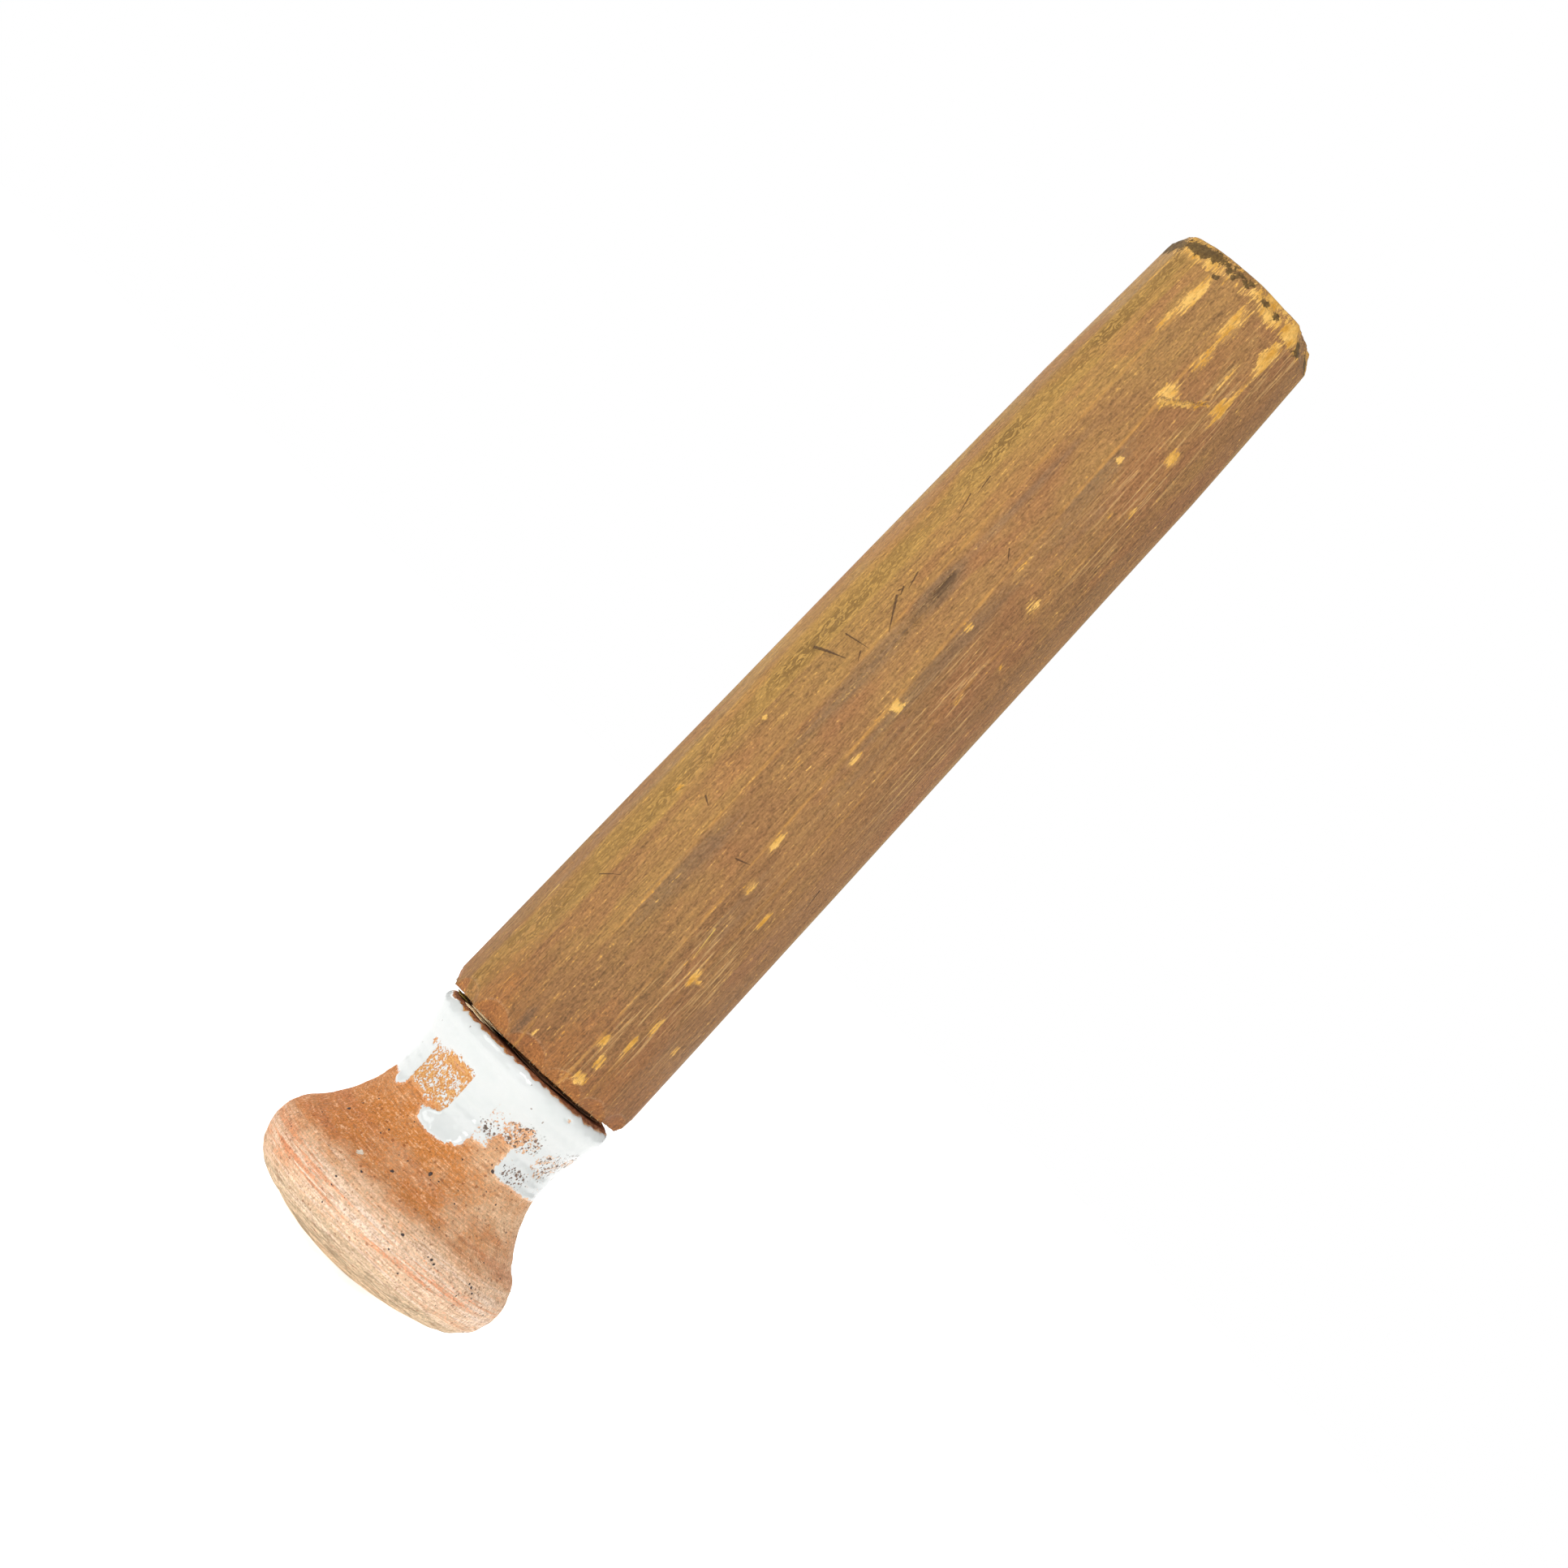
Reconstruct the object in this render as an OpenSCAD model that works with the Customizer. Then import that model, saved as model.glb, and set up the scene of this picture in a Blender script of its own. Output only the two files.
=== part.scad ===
// Pestle for a large mortar: a thrown stoneware head on a tapered wooden handle.
// The head points down, its working face rests on z = 0 and the handle rises along +Z.
// -Y is the side with the long glaze run; all sizes are in millimetres.

/* [Head] */
// Widest diameter of the foot, across the grinding face
foot_d = 59.4; // [56:0.2:64]
// Height of that widest ring above the working face
foot_h = 13.9; // [12.5:0.1:15]
// Radius of the round that joins the grinding face to the flank
foot_round_r = 10.4; // [8:0.1:11]
// Diameter at the waist, over the body
waist_d = 37.8; // [35:0.2:41]
// Radius of the hollow sweep from foot to collar
waist_sweep_r = 26.5; // [24:0.5:30]
// Diameter of the collar, over the body
collar_d = 42.4; // [41.6:0.2:43.6]
// Radius of the collar's round
collar_round_r = 6; // [5:0.1:8]
// Rise from the collar's widest ring to the flat rim that faces the handle
rim_rise = 3; // [2.4:0.1:4]
// Radius that softens the rim's outer edge
rim_round_r = 1.2; // [0.6:0.1:1.6]

/* [Socket joint] */
// Diameter of the blind socket in the head
socket_d = 24; // [22:0.5:25]
// Depth of the socket below the rim
socket_depth = 31; // [26:0.5:33]
// Diameter of the handle's tenon
tenon_d = 21.6; // [18:0.2:21.8]
// Cement left under the tenon
bed_t = 2; // [1:0.25:4]
// Gap between the head's rim and the handle's shoulder
gap_t = 1.2; // [1.2:0.1:1.8]

/* [Handle] */
// Length of the handle above its shoulder
handle_l = 205.6; // [150:0.1:260]
// Across the arrises just above the shoulder
handle_low_d = 45.2; // [43:0.2:46]
// Across the arrises at the start of the steeper last stretch
handle_mid_d = 40.2; // [37:0.2:43]
// Length of that last stretch, up to the butt's chamfer
handle_last_l = 33; // [20:1:60]
// Across the arrises just below the butt's chamfer
handle_top_d = 37.8; // [34:0.2:40]
// Height of the knife-cut chamfer at the shoulder
shoulder_chamfer_h = 3.8; // [2.5:0.1:5]
// Depth of that chamfer, measured inwards
shoulder_chamfer_w = 1.7; // [1:0.1:2.5]
// Height of the chamfer round the butt
butt_chamfer_h = 5; // [3:0.1:7]
// Diameter of the flat left on the butt
butt_flat_d = 33; // [26:0.5:33.5]

/* [Glaze] */
// Thickness of the fused glaze
glaze_t = 0.4; // [0.3:0.05:0.6]
// Bare band left below the rim
bare_rim_h = 2.4; // [1.5:0.1:3.5]
// Height at which the coat ends between its runs
glaze_hem_h = 45; // [43:0.5:48]

/* [Packing] */
// Outer diameter of the packing wrapped round the tenon
packing_d = 38; // [32:0.5:40]
// Thickness of the slivers driven into the gap
sliver_t = 0.55; // [0.4:0.05:0.7]

/* [Hidden] */
$fn = 96;
far = 400;

// The outline is a chain of arcs that touch, so each centre follows from its neighbours.
foot_c = [foot_d / 2 - foot_round_r, foot_h];
dome_r = (pow(foot_c[0], 2) + pow(foot_h, 2) - pow(foot_round_r, 2)) / (2 * (foot_h - foot_round_r));
dome_c = [0, dome_r];
waist_cx = waist_d / 2 + waist_sweep_r;
waist_drop = sqrt(pow(waist_sweep_r + foot_round_r, 2) - pow(waist_cx - foot_c[0], 2));
waist_c = [waist_cx, foot_h + waist_drop];
collar_cx = collar_d / 2 - collar_round_r;
collar_lift = sqrt(pow(waist_sweep_r + collar_round_r, 2) - pow(waist_cx - collar_cx, 2));
collar_c = [collar_cx, waist_c[1] + collar_lift];
rim_h = collar_c[1] + rim_rise;
rim_round_rise = rim_rise - rim_round_r;
rim_round_c = collar_c + [sqrt(pow(collar_round_r - rim_round_r, 2) - pow(rim_round_rise, 2)), rim_round_rise];

// Where two neighbouring arcs touch.
foot_touch = foot_c + foot_round_r * heading(dome_c, foot_c);
flank_touch = foot_c + foot_round_r * heading(foot_c, waist_c);
collar_touch = collar_c + collar_round_r * heading(collar_c, waist_c);

tenon_l = socket_depth - bed_t;
socket_z = rim_h - socket_depth;
shoulder_z = rim_h + gap_t;
top_z = shoulder_z + handle_l;
glaze_top_z = rim_h - bare_rim_h;

// Directions of the sixteen planed arrises, counted from -Y towards +X. They are uneven, as hand work is.
ARRIS_A = [-84, -61, -40, -19, 9, 34, 51, 74, 97, 118, 141, 163, 184, 208, 229, 253];
// Each run of glaze: its direction, its half width in degrees, and the height of its lowest point.
GLAZE_RUNS = [
    [-66, 22, 34.5], [-17, 14, 31.6], [24, 15, 37.5], [58, 17, 36.5],
    [104, 19, 39.5], [146, 16, 35.0], [190, 20, 38.0], [236, 17, 33.5]
];

// Unit vector at angle a.
function aim(a) = [cos(a), sin(a)];
// Unit vector from a to b.
function heading(a, b) = (b - a) / norm(b - a);
// A point at direction a, counted from -Y towards +X, and distance r from the axis.
function around(a, r) = [r * sin(a), -r * cos(a)];

// A slice of a disc, from its centre out through the points p and q.
module sector(c, r, p, q) {
    m = c + 2 * r * heading([0, 0], heading(c, p) + heading(c, q));
    intersection() {
        translate(c) circle(r = r);
        polygon([c, c + 2 * r * heading(c, p), m, c + 2 * r * heading(c, q)]);
    }
}

// Right half of the head's outline.
module head_outline() {
    difference() {
        intersection() {
            union() {
                polygon([[0, foot_h], foot_c, flank_touch, waist_c, collar_c, collar_c + [0, far], [0, far]]);
                sector(dome_c, dome_r, [0, 0], foot_touch);
                translate(foot_c) circle(r = foot_round_r);
                translate(collar_c) circle(r = collar_round_r);
            }
            square([foot_d, rim_h]);
        }
        translate(waist_c) circle(r = waist_sweep_r);
        rim_corner();
    }
}

// Corner that is cut away to round the rim's outer edge.
module rim_corner() {
    difference() {
        polygon([rim_round_c, rim_round_c + [0, rim_rise], rim_round_c + [rim_rise, rim_rise],
                 rim_round_c + 2 * rim_rise * heading(collar_c, rim_round_c)]);
        translate(rim_round_c) circle(r = rim_round_r);
    }
}

// Stoneware body, thrown solid, with a blind socket for the handle.
module head() {
    color("#c98f63")
    difference() {
        rotate_extrude() head_outline();
        translate([0, 0, socket_z]) cylinder(d = socket_d, h = far);
    }
}

// Half section of the glaze, t thick: over the waist's sweep, then the collar's round.
module glaze_section(t) {
    intersection() {
        union() {
            difference() {
                sector(waist_c, waist_sweep_r, waist_c - [2, 1], collar_touch);
                translate(waist_c) circle(r = waist_sweep_r - t);
            }
            difference() {
                sector(collar_c, collar_round_r + t, collar_touch, collar_c + [1, 1]);
                translate(collar_c) circle(r = collar_round_r);
            }
        }
        square([foot_d, glaze_top_z]);
    }
}

// Glaze coat: a band round the collar, with runs that hang down over the waist.
module glaze_coat() {
    color("#eef0ec")
    intersection() {
        rotate_extrude() glaze_section(glaze_t);
        union() {
            translate([0, 0, glaze_hem_h]) cylinder(d = foot_d, h = far);
            cylinder(d = waist_d / 2, h = far);
            for (run = GLAZE_RUNS) glaze_run(run[0], run[1], run[2]);
        }
    }
}

// Wedge that keeps one run of the glaze, half_a degrees to each side of direction a, down to low_z.
module glaze_run(a, half_a, low_z) {
    translate([0, 0, low_z])
    linear_extrude(height = far)
    polygon([[0, 0], around(a - half_a, foot_d), around(a + half_a, foot_d)]);
}

// Planed column with sixteen flats, tapering to the butt; it runs past both ends of the handle.
module planed_column() {
    low_z = shoulder_z + shoulder_chamfer_h;
    last_z = top_z - butt_chamfer_h;
    mid_z = last_z - handle_last_l;
    low_slope = (handle_mid_d - handle_low_d) / 2 / (mid_z - low_z);
    last_slope = (handle_top_d - handle_mid_d) / 2 / handle_last_l;
    past = shoulder_chamfer_h + butt_chamfer_h;
    levels = [
        [low_z - past, handle_low_d / 2 - low_slope * past], [mid_z, handle_mid_d / 2],
        [last_z + past, handle_top_d / 2 + last_slope * past]
    ];
    n = len(ARRIS_A);
    points = [for (level = levels, a = ARRIS_A) [each around(a, level[1]), level[0]]];
    sides = [for (k = [0:len(levels) - 2], i = [0:n - 1])
             [k * n + i, (k + 1) * n + i, (k + 1) * n + (i + 1) % n, k * n + (i + 1) % n]];
    bottom = [for (i = [0:n - 1]) i];
    top = [for (i = [n - 1:-1:0]) (len(levels) - 1) * n + i];
    polyhedron(points, concat(sides, [bottom, top]));
}

// Turned envelope that gives the handle its shoulder, its two chamfers and its flat butt.
module handle_envelope() {
    low_r = handle_low_d / 2;
    top_r = handle_top_d / 2;
    rotate_extrude()
    polygon([
        [0, shoulder_z], [low_r - shoulder_chamfer_w, shoulder_z], [low_r, shoulder_z + shoulder_chamfer_h],
        [2 * low_r, shoulder_z + 2 * low_r], [2 * low_r, top_z - 2 * low_r], [top_r, top_z - butt_chamfer_h],
        [butt_flat_d / 2, top_z], [0, top_z]
    ]);
}

// Handle and its tenon, planed from one billet.
module handle() {
    color("#96693c")
    union() {
        intersection() {
            planed_column();
            handle_envelope();
        }
        translate([0, 0, socket_z + bed_t]) cylinder(d = tenon_d, h = tenon_l + gap_t + 1);
    }
}

// Cement that beds the tenon: a sleeve with a closed bottom.
module socket_cement() {
    color("#8d8578")
    translate([0, 0, socket_z])
    difference() {
        cylinder(d = socket_d, h = socket_depth);
        translate([0, 0, bed_t]) cylinder(d = tenon_d, h = far);
    }
}

// Flat ring of packing wound round the tenon, in the gap; cut away where the slivers were driven in.
module packing_wrap() {
    color("#4a2f1c")
    difference() {
        translate([0, 0, rim_h]) cylinder(d = packing_d, h = gap_t);
        translate([0, 0, rim_h - 1]) cylinder(d = tenon_d, h = gap_t + 2);
        sliver_seat();
    }
}

// Wedge-shaped part of the gap that the slivers fill, from the tenon outwards.
module sliver_seat() {
    translate([0, 0, rim_h - 1])
    linear_extrude(height = gap_t + 2)
    polygon([around(-50, tenon_d / 2 + 1), around(-15, tenon_d / 2 + 1), around(-15, foot_d / 2),
             around(-50, foot_d), around(-95, foot_d / 2), around(-95, tenon_d / 2 + 1)]);
}

// A split sliver of pale wood lying in the gap, from direction a0 to a1, tapering to its tip.
module sliver(a0, a1, z, r_in, r_out) {
    mid = (a0 + a1) / 2;
    translate([0, 0, z])
    linear_extrude(height = sliver_t)
    polygon([around(a0, r_in), around(a0, r_out - 0.6), around(a0 + (a1 - a0) * 0.2, r_out),
             around(mid, r_out), around(a1, r_out - 1), around(mid, r_in)]);
}

// Upper prong of the split sliver.
module shim_upper() {
    color("#e3c48f") sliver(-52, -22, shoulder_z - sliver_t, 14.5, 20.2);
}

// Lower prong of the split sliver.
module shim_lower() {
    color("#dcb981") sliver(-56, -28, rim_h, 14.0, 20.6);
}

// Greenish splinter at the outer edge of the gap.
module shim_edge() {
    color("#b3a13e") sliver(-84, -62, rim_h + 0.1, 15.5, 20.4);
}

head();
glaze_coat();
handle();
socket_cement();
packing_wrap();
shim_upper();
shim_lower();
shim_edge();
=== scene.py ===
"""Looks of a mortar pestle: a thrown stoneware head, a planed wooden handle, and what packs their joint.

Directions round the axis are in degrees, counted from -Y towards +X. In the lists of details, heights and
lengths are in millimetres; finished meshes are in metres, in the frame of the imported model.
"""
from __future__ import annotations

import logging
import math
from dataclasses import dataclass, field
from enum import Enum
from typing import Sequence, Union

import bmesh
import bpy
import numpy as np
from bpy.types import Material, Mesh, Node, NodeSocket, NodeTree, Object
from mathutils import Matrix, Vector

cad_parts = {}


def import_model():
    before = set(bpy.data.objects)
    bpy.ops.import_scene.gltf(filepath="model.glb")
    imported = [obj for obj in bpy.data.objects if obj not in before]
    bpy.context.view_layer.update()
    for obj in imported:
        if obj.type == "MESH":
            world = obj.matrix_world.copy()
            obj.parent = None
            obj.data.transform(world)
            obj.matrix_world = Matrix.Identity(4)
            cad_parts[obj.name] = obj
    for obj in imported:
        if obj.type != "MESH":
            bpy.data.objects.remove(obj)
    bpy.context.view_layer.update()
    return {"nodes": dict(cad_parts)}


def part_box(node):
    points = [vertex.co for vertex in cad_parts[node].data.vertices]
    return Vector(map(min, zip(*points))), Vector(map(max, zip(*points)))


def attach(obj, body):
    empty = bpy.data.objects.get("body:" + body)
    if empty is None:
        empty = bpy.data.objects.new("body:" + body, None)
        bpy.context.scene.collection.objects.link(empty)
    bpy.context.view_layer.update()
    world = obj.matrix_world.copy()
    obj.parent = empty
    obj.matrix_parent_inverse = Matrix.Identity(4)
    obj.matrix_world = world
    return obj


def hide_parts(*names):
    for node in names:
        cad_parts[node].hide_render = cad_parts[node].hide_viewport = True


LOG = logging.getLogger("pestle")
BODY = "root"
MM = 0.001
WRAP_R = 21.0  # radius at which the handle's surface is laid out flat, in millimetres
GLAZE_LOW_Z = 30.5  # height below which no glaze runs, in millimetres
GLAZE_OVER_RIM = 1.7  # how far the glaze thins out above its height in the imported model, in millimetres
Array = np.ndarray
Feed = Union[NodeSocket, float, int, Sequence[float], bpy.types.ID]


class Wear(Enum):
    """What a patch on the handle's surface is."""

    OCHRE = "ochre"
    SOOT = "soot"
    SMOKE = "smoke"
    RUST = "rust"


@dataclass(frozen=True)
class Tear:
    """The slanting tear near the butt, a curve that rises to the right, in degrees and millimetres."""

    start_a: float = 0.5
    span_a: float = 27.5
    low_z: float = 231.6
    rise: float = 6.6
    bend: float = 1.15

    def share(self, direction: Array | float) -> Array | float:
        """How far along the tear a direction is, 0 to 1 inside it."""
        return (direction - self.start_a) / self.span_a

    def height(self, direction: Array | float) -> Array | float:
        """Height of the tear at a direction."""
        return self.low_z + self.rise * np.clip(self.share(direction), 0, 1) ** self.bend


TEAR = Tear()


class GrainAxis(Enum):
    """Direction in which a wood's fibres run, as the squeeze of its pattern along X, Y and Z."""

    UPRIGHT = (1.0, 1.0, 0.2)
    LEVEL = (0.35, 0.35, 1.4)


# ---------------------------------------------------------------- numbers and noise

def srgb(red: float, green: float, blue: float) -> tuple[float, float, float, float]:
    """Turns a colour of 0 to 255 a channel into the linear values a shader takes.

    Args:
        red: Red as a screen shows it.
        green: Green as a screen shows it.
        blue: Blue as a screen shows it.

    Returns:
        The linear colour with an alpha of one.
    """
    linear = [(c / 255 / 12.92) if c < 10.3 else ((c / 255 + 0.055) / 1.055) ** 2.4
              for c in (red, green, blue)]
    return (linear[0], linear[1], linear[2], 1.0)


def around(direction: Array, radius: Array, z: Array) -> Array:
    """Places points round the axis.

    Args:
        direction: Directions in degrees.
        radius: Distances from the axis.
        z: Heights.

    Returns:
        An array whose last axis holds x, y and z, in the unit of the radius.
    """
    a = np.radians(direction)
    return np.stack(np.broadcast_arrays(radius * np.sin(a), -radius * np.cos(a), z), axis=-1)


def smooth(x: Array, low: float, high: float) -> Array:
    """Rises smoothly from 0 at low to 1 at high; high may be the smaller one."""
    t = np.clip((x - low) / (high - low), 0.0, 1.0)
    return t * t * (3 - 2 * t)


def near(direction: Array, a: float, far: float, close: float) -> Array:
    """Rises from 0 to 1 as directions come from far to close, in degrees on either side of a."""
    return smooth(np.abs(turn(direction, a)), far, close)


def hump(x: Array, width: float) -> Array:
    """A bell of height 1 at 0, which fades away beyond its width."""
    return np.exp(-(x / width) ** 2)


def turn(a: Array, b: float) -> Array:
    """Signed angle from b to a, in degrees, from -180 to 180."""
    return (a - b + 180.0) % 360.0 - 180.0


def ripple(points: Array, size: float, seed: int, squeeze: Sequence[float] = (1, 1, 1)) -> Array:
    """Smooth noise made of waves that run in many directions.

    Args:
        points: Places in millimetres, on the last axis.
        size: Rough width of a bump, in millimetres.
        seed: Picks the waves.
        squeeze: Scale of the noise along X, Y and Z; a small number stretches it.

    Returns:
        Noise of about -1 to 1 at each point.
    """
    rng = np.random.default_rng(seed)
    waves = 36
    aim = rng.normal(size=(waves, 3))
    aim /= np.linalg.norm(aim, axis=1)[:, None]
    pitch = math.pi / size * rng.uniform(0.55, 1.7, waves)
    phase = rng.uniform(0, math.tau, waves)
    total = np.zeros(points.shape[:-1])
    for k in range(waves):
        total += np.cos(points @ (aim[k] * pitch[k] * np.asarray(squeeze)) + phase[k])
    return total / math.sqrt(waves) * 0.8


# ---------------------------------------------------------------- meshes

def grid_faces(rows: int, columns: int) -> list[tuple[int, int, int, int]]:
    """Faces of a grid that closes on itself round the axis, its rows running up the outside."""
    return [
        (i * columns + j, i * columns + (j + 1) % columns, (i + 1) * columns + (j + 1) % columns,
         (i + 1) * columns + j)
        for i in range(rows - 1) for j in range(columns)
    ]


def stand(name: str, data: bpy.types.ID) -> Object:
    """Makes an object of some data and links it to the scene."""
    made = bpy.data.objects.new(name, data)
    bpy.context.scene.collection.objects.link(made)
    return made


def mesh_object(name: str, points: Array, faces: Sequence[Sequence[int]]) -> Object:
    """Makes a smooth-shaded object of a mesh.

    Args:
        name: Name of the piece.
        points: Its points in millimetres.
        faces: Its faces, outwards.

    Returns:
        The object, at the origin, linked to the scene.
    """
    mesh = bpy.data.meshes.new(name)
    mesh.from_pydata((np.asarray(points) * MM).tolist(), [], [tuple(int(k) for k in f) for f in faces])
    mesh.validate()
    mesh.polygons.foreach_set("use_smooth", np.ones(len(mesh.polygons), bool))
    return stand(name, mesh)


def paint(mesh: Mesh, name: str, values: Array, kind: str = "FLOAT") -> None:
    """Stores a number, or a vector, for each vertex under a name that a material or a tree reads."""
    layer = mesh.attributes.new(name, kind, "POINT")
    layer.data.foreach_set("value" if kind == "FLOAT" else "vector", np.ravel(values).astype(np.float32))


def dress(piece: Object, material: Material) -> None:
    """Gives a piece one material in place of what it had."""
    piece.data.materials.clear()
    piece.data.materials.append(material)


def finish_piece(piece: Object, material: Material, slot: str, *nodes: str) -> None:
    """Dresses a piece, rides it on the body and says which CAD nodes it stands for.

    Args:
        piece: The finished object.
        material: Its finish.
        slot: Name of the material slot that the finish belongs to; it is only logged.
        nodes: CAD nodes that it replaces.
    """
    dress(piece, material)
    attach(piece, BODY)
    if nodes:
        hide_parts(*nodes)
    LOG.info("%s: %d faces, slot %s, replaces %s", piece.name, len(piece.data.polygons), slot,
             ", ".join(nodes) or "none")


# ---------------------------------------------------------------- node trees

class Wires:
    """Short-hand that adds nodes to one tree and joins them."""

    def __init__(self, tree: NodeTree) -> None:
        """Keeps the tree that the nodes go into."""
        self.tree = tree

    def feed(self, socket: NodeSocket, value: Feed) -> None:
        """Links a socket to another one, or sets its constant."""
        if isinstance(value, NodeSocket):
            self.tree.links.new(value, socket)
        else:
            socket.default_value = value

    def add(self, kind: str, feeds: dict[int | str, Feed] | None = None, **settings: object) -> Node:
        """Adds a node.

        Args:
            kind: The node's type.
            feeds: What goes into its sockets, by name or number.
            settings: The node's own properties.

        Returns:
            The new node.
        """
        node = self.tree.nodes.new(kind)
        for key, value in settings.items():
            setattr(node, key, value)
        for key, value in (feeds or {}).items():
            self.feed(node.inputs[key], value)
        return node

    def group(self, tree: NodeTree, **feeds: Feed) -> Node:
        """Adds a node that runs a group."""
        return self.add("ShaderNodeGroup", feeds, node_tree=tree)

    def math(self, operation: str, a: Feed, b: Feed = 0.0) -> NodeSocket:
        """One step of arithmetic on two numbers."""
        return self.add("ShaderNodeMath", {0: a, 1: b}, operation=operation).outputs[0]

    def times(self, a: Feed, b: Feed) -> NodeSocket:
        """Product of two numbers."""
        return self.math("MULTIPLY", a, b)

    def minus(self, a: Feed, b: Feed) -> NodeSocket:
        """First number less the second."""
        return self.math("SUBTRACT", a, b)

    def vector(self, operation: str, a: Feed, b: Feed, port: int | str = 0) -> NodeSocket:
        """One step of arithmetic on two vectors."""
        return self.add("ShaderNodeVectorMath", {0: a, 1: b}, operation=operation).outputs[port]

    def span(self, value: Feed, low: float, high: float, to_low: float = 0.0,
             to_high: float = 1.0) -> NodeSocket:
        """Maps a number smoothly from one range to another, and holds it there."""
        feeds = {0: value, 1: low, 2: high, 3: to_low, 4: to_high}
        return self.add("ShaderNodeMapRange", feeds, interpolation_type="SMOOTHSTEP").outputs[0]

    def mix(self, amount: Feed, a: Feed, b: Feed, blend: str = "MIX") -> NodeSocket:
        """Blends two colours."""
        return self.add("ShaderNodeMix", {0: amount, 6: a, 7: b}, data_type="RGBA",
                        blend_type=blend).outputs[2]

    def noise(self, place: Feed, scale: Feed, detail: float = 2.0, rough: float = 0.5,
              bend: float = 0.0) -> NodeSocket:
        """Noise from 0 to 1 at a place, most of it near 0.5."""
        feeds = {"Vector": place, "Scale": scale, "Detail": detail, "Roughness": rough, "Distortion": bend}
        return self.add("ShaderNodeTexNoise", feeds).outputs[0]

    def grains(self, place: Feed, scale: Feed, detail: float = 2.0, rough: float = 0.5,
               bend: float = 0.0) -> NodeSocket:
        """Noise spread over the whole range of 0 to 1."""
        return self.span(self.noise(place, scale, detail, rough, bend), 0.32, 0.68)

    def centred(self, value: Feed, weight: float) -> NodeSocket:
        """Weighs a number of 0 to 1 as a push to either side of zero."""
        return self.times(self.minus(value, 0.5), weight)

    def total(self, *values: Feed) -> NodeSocket:
        """Adds up several numbers."""
        result = values[0]
        for value in values[1:]:
            result = self.math("ADD", result, value)
        return result

    def over(self, color: Feed, coat: Sequence[float], mask: Feed, share: float = 1.0) -> NodeSocket:
        """Lays a coat, in the numbers of a screen, over a colour where the mask is, share of it at most."""
        return self.mix(mask if share == 1.0 else self.times(mask, share), color, srgb(*coat))

    def swayed(self, value: Feed, *pushes: tuple[Feed, float]) -> NodeSocket:
        """Pushes a number to either side, by numbers of 0 to 1 and their weights."""
        return self.total(value, *(self.centred(*push) for push in pushes))

    def shade(self, color: Feed, factor: Feed) -> NodeSocket:
        """Makes a colour lighter or darker, or a vector longer or shorter, by a factor."""
        return self.add("ShaderNodeVectorMath", {0: color, "Scale": factor}, operation="SCALE").outputs[0]

    def squeeze(self, place: Feed, factors: Feed) -> NodeSocket:
        """Multiplies a place by a factor for each axis."""
        return self.vector("MULTIPLY", place, factors)

    def painted(self, name: str) -> NodeSocket:
        """Number that the piece carries at each vertex."""
        return self.add("ShaderNodeAttribute", attribute_name=name).outputs["Fac"]

    def millimetres(self) -> NodeSocket:
        """The piece's own coordinates in millimetres."""
        return self.squeeze(self.add("ShaderNodeTexCoord").outputs["Object"], (1000.0, 1000.0, 1000.0))

    def bump(self, height: Feed, depth: float, strength: float) -> NodeSocket:
        """Normal bent by a height of 0 to 1 that is depth millimetres deep."""
        return self.add("ShaderNodeBump",
                        {"Height": height, "Distance": depth * MM, "Strength": strength}).outputs[0]

    def surface(self, color: Feed, rough: Feed, normal: Feed | None, specular: float = 0.5,
                **more: Feed) -> None:
        """Ends a material in a shader.

        Args:
            color: Its colour.
            rough: Its roughness.
            normal: Its normal, or none for a plain one.
            specular: Strength of its shine.
            more: Any other inputs by name, with _ for a space.
        """
        feeds = {"Base Color": color, "Roughness": rough, "Specular IOR Level": specular}
        feeds |= {name.replace("_", " "): value for name, value in more.items()}
        shader = self.add("ShaderNodeBsdfPrincipled", feeds)
        if normal is not None:
            self.feed(shader.inputs["Normal"], normal)
        self.feed(self.add("ShaderNodeOutputMaterial").inputs[0], shader.outputs[0])


Sockets = bpy.types.bpy_prop_collection


def node_group(name: str, inputs: dict[str, object], outputs: dict[str, str],
               kind: str = "ShaderNodeTree") -> tuple[Wires, Sockets, Sockets]:
    """Starts a node group with named sockets.

    Args:
        name: Name of the group.
        inputs: Default of each input by name; a number, a vector, or the name of a socket type.
        outputs: Socket type of each output by name.
        kind: Type of the tree.

    Returns:
        The wires of the group, the sockets that bring its inputs in, and those that take its outputs.
    """
    tree = bpy.data.node_groups.new(name, kind)
    if kind == "GeometryNodeTree":
        tree.is_modifier = True
    for label, default in inputs.items():
        named = isinstance(default, str)
        plain = {bool: "NodeSocketBool", int: "NodeSocketInt", float: "NodeSocketFloat",
                 tuple: "NodeSocketVector"}
        socket_type = default if named else plain[type(default)]
        socket = tree.interface.new_socket(name=label, in_out="INPUT", socket_type=socket_type)
        if not named:
            socket.default_value = default
    for label, socket_type in outputs.items():
        tree.interface.new_socket(name=label, in_out="OUTPUT", socket_type=socket_type)
    wires = Wires(tree)
    return wires, wires.add("NodeGroupInput").outputs, wires.add("NodeGroupOutput").inputs


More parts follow.
